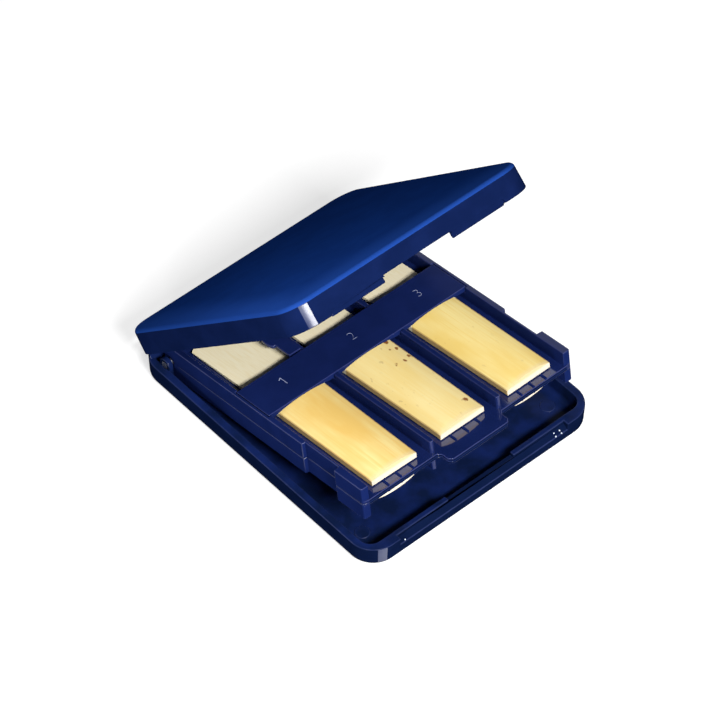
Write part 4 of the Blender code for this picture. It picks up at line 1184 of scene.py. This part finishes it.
# Studio: a pale table, a soft wide panel in front, a small one close over the
# lid's near corner and a narrow upright one at the left for the left walls.
CAMERA_AZIMUTH = math.radians(-41.607)
CAMERA_ELEVATION = math.radians(48.733)
CAMERA_ROLL = math.radians(0.338)
CAMERA_DISTANCE = 1134.53 * MM
CAMERA_LENS = 217.46
AIM = Vector((4.288, 7.134, 3.9)) * MM
TABLE_HALF = 3.0
TABLE_GREY = (0.5, 0.5, 0.5)
TABLE_LIFT = 0.60
ROOM_LIGHT = 0.11

right = Vector((math.cos(CAMERA_AZIMUTH), math.sin(CAMERA_AZIMUTH), 0))
back = Vector(
    (
        math.sin(CAMERA_AZIMUTH) * math.cos(CAMERA_ELEVATION),
        -math.cos(CAMERA_AZIMUTH) * math.cos(CAMERA_ELEVATION),
        math.sin(CAMERA_ELEVATION),
    )
)
up = back.cross(right)
cos_roll, sin_roll = math.cos(CAMERA_ROLL), math.sin(CAMERA_ROLL)
level, upright = right * cos_roll + up * sin_roll, up * cos_roll - right * sin_roll
view = Matrix((level, upright, back)).transposed().to_4x4()
view.translation = AIM + back * CAMERA_DISTANCE
lens = bpy.data.cameras.new("camera")
lens.lens = CAMERA_LENS
lens.sensor_width = 36
lens.clip_start = 0.05
lens.clip_end = 20
camera = add_object("camera", lens)
camera.matrix_world = view
bpy.context.scene.camera = camera


def panel(name, place, aim, width, height, light):
    """A soft panel of light whose middle gives about this much light at its aim."""
    lamp = bpy.data.lights.new(name, "AREA")
    lamp.shape = "RECTANGLE"
    lamp.size = width
    lamp.size_y = height
    towards = Vector(aim) - Vector(place)
    lamp.energy = light * 4 * math.pi * towards.length_squared
    item = add_object(name, lamp)
    item.location = place
    item.rotation_euler = towards.to_track_quat("-Z", "Y").to_euler()
    item.visible_camera = False


def seen_share(tree):
    """1 for what the camera sees, also mirrored or through glass, else 0."""
    path = node_of(tree, "ShaderNodeLightPath").outputs
    seen = math_node(tree, "MAXIMUM", path["Is Camera Ray"], path["Is Glossy Ray"])
    return math_node(tree, "MAXIMUM", seen, path["Is Transmission Ray"])


panel("front", (-0.11, -0.56, 0.53), (0, 0.0, 0.012), 0.34, 0.11, 1.3)
panel("top", (-0.06, 0.035, 0.125), (-0.02, 0.0, 0.05), 0.05, 0.04, 0.58)
panel("streak", (-0.44, -0.25, 0.10), (0, -0.02, 0.03), 0.014, 0.16, 0.32)

table = bpy.data.materials.new("pale_table")
table.use_nodes = True
tree = table.node_tree
tree.nodes.clear()
cloth = node_of(tree, "ShaderNodeBsdfDiffuse", {"Color": (*TABLE_GREY, 1)})
lift = node_of(tree, "ShaderNodeEmission", {"Strength": TABLE_LIFT})
dark = node_of(tree, "ShaderNodeEmission", {"Strength": 0.0})
inputs = {"Fac": seen_share(tree), 1: dark.outputs["Emission"], 2: lift.outputs["Emission"]}
pick = node_of(tree, "ShaderNodeMixShader", inputs)
both = node_of(tree, "ShaderNodeAddShader", {0: cloth.outputs["BSDF"], 1: pick.outputs["Shader"]})
node_of(tree, "ShaderNodeOutputMaterial", {"Surface": both.outputs["Shader"]})
floor = block("table", (-TABLE_HALF, TABLE_HALF), (-TABLE_HALF, TABLE_HALF), (-10 * MM, 0))
floor.data.materials.append(table)

world = bpy.data.worlds.new("studio")
world.use_nodes = True
bpy.context.scene.world = world
tree = world.node_tree
ground = tree.nodes["Background"]
strength = blend_between(tree, ROOM_LIGHT, 1.0, seen_share(tree))
tree.links.new(strength, ground.inputs["Strength"])
ground.inputs["Color"].default_value = (1, 1, 1, 1)

scene = bpy.context.scene
scene.view_settings.view_transform = "Standard"
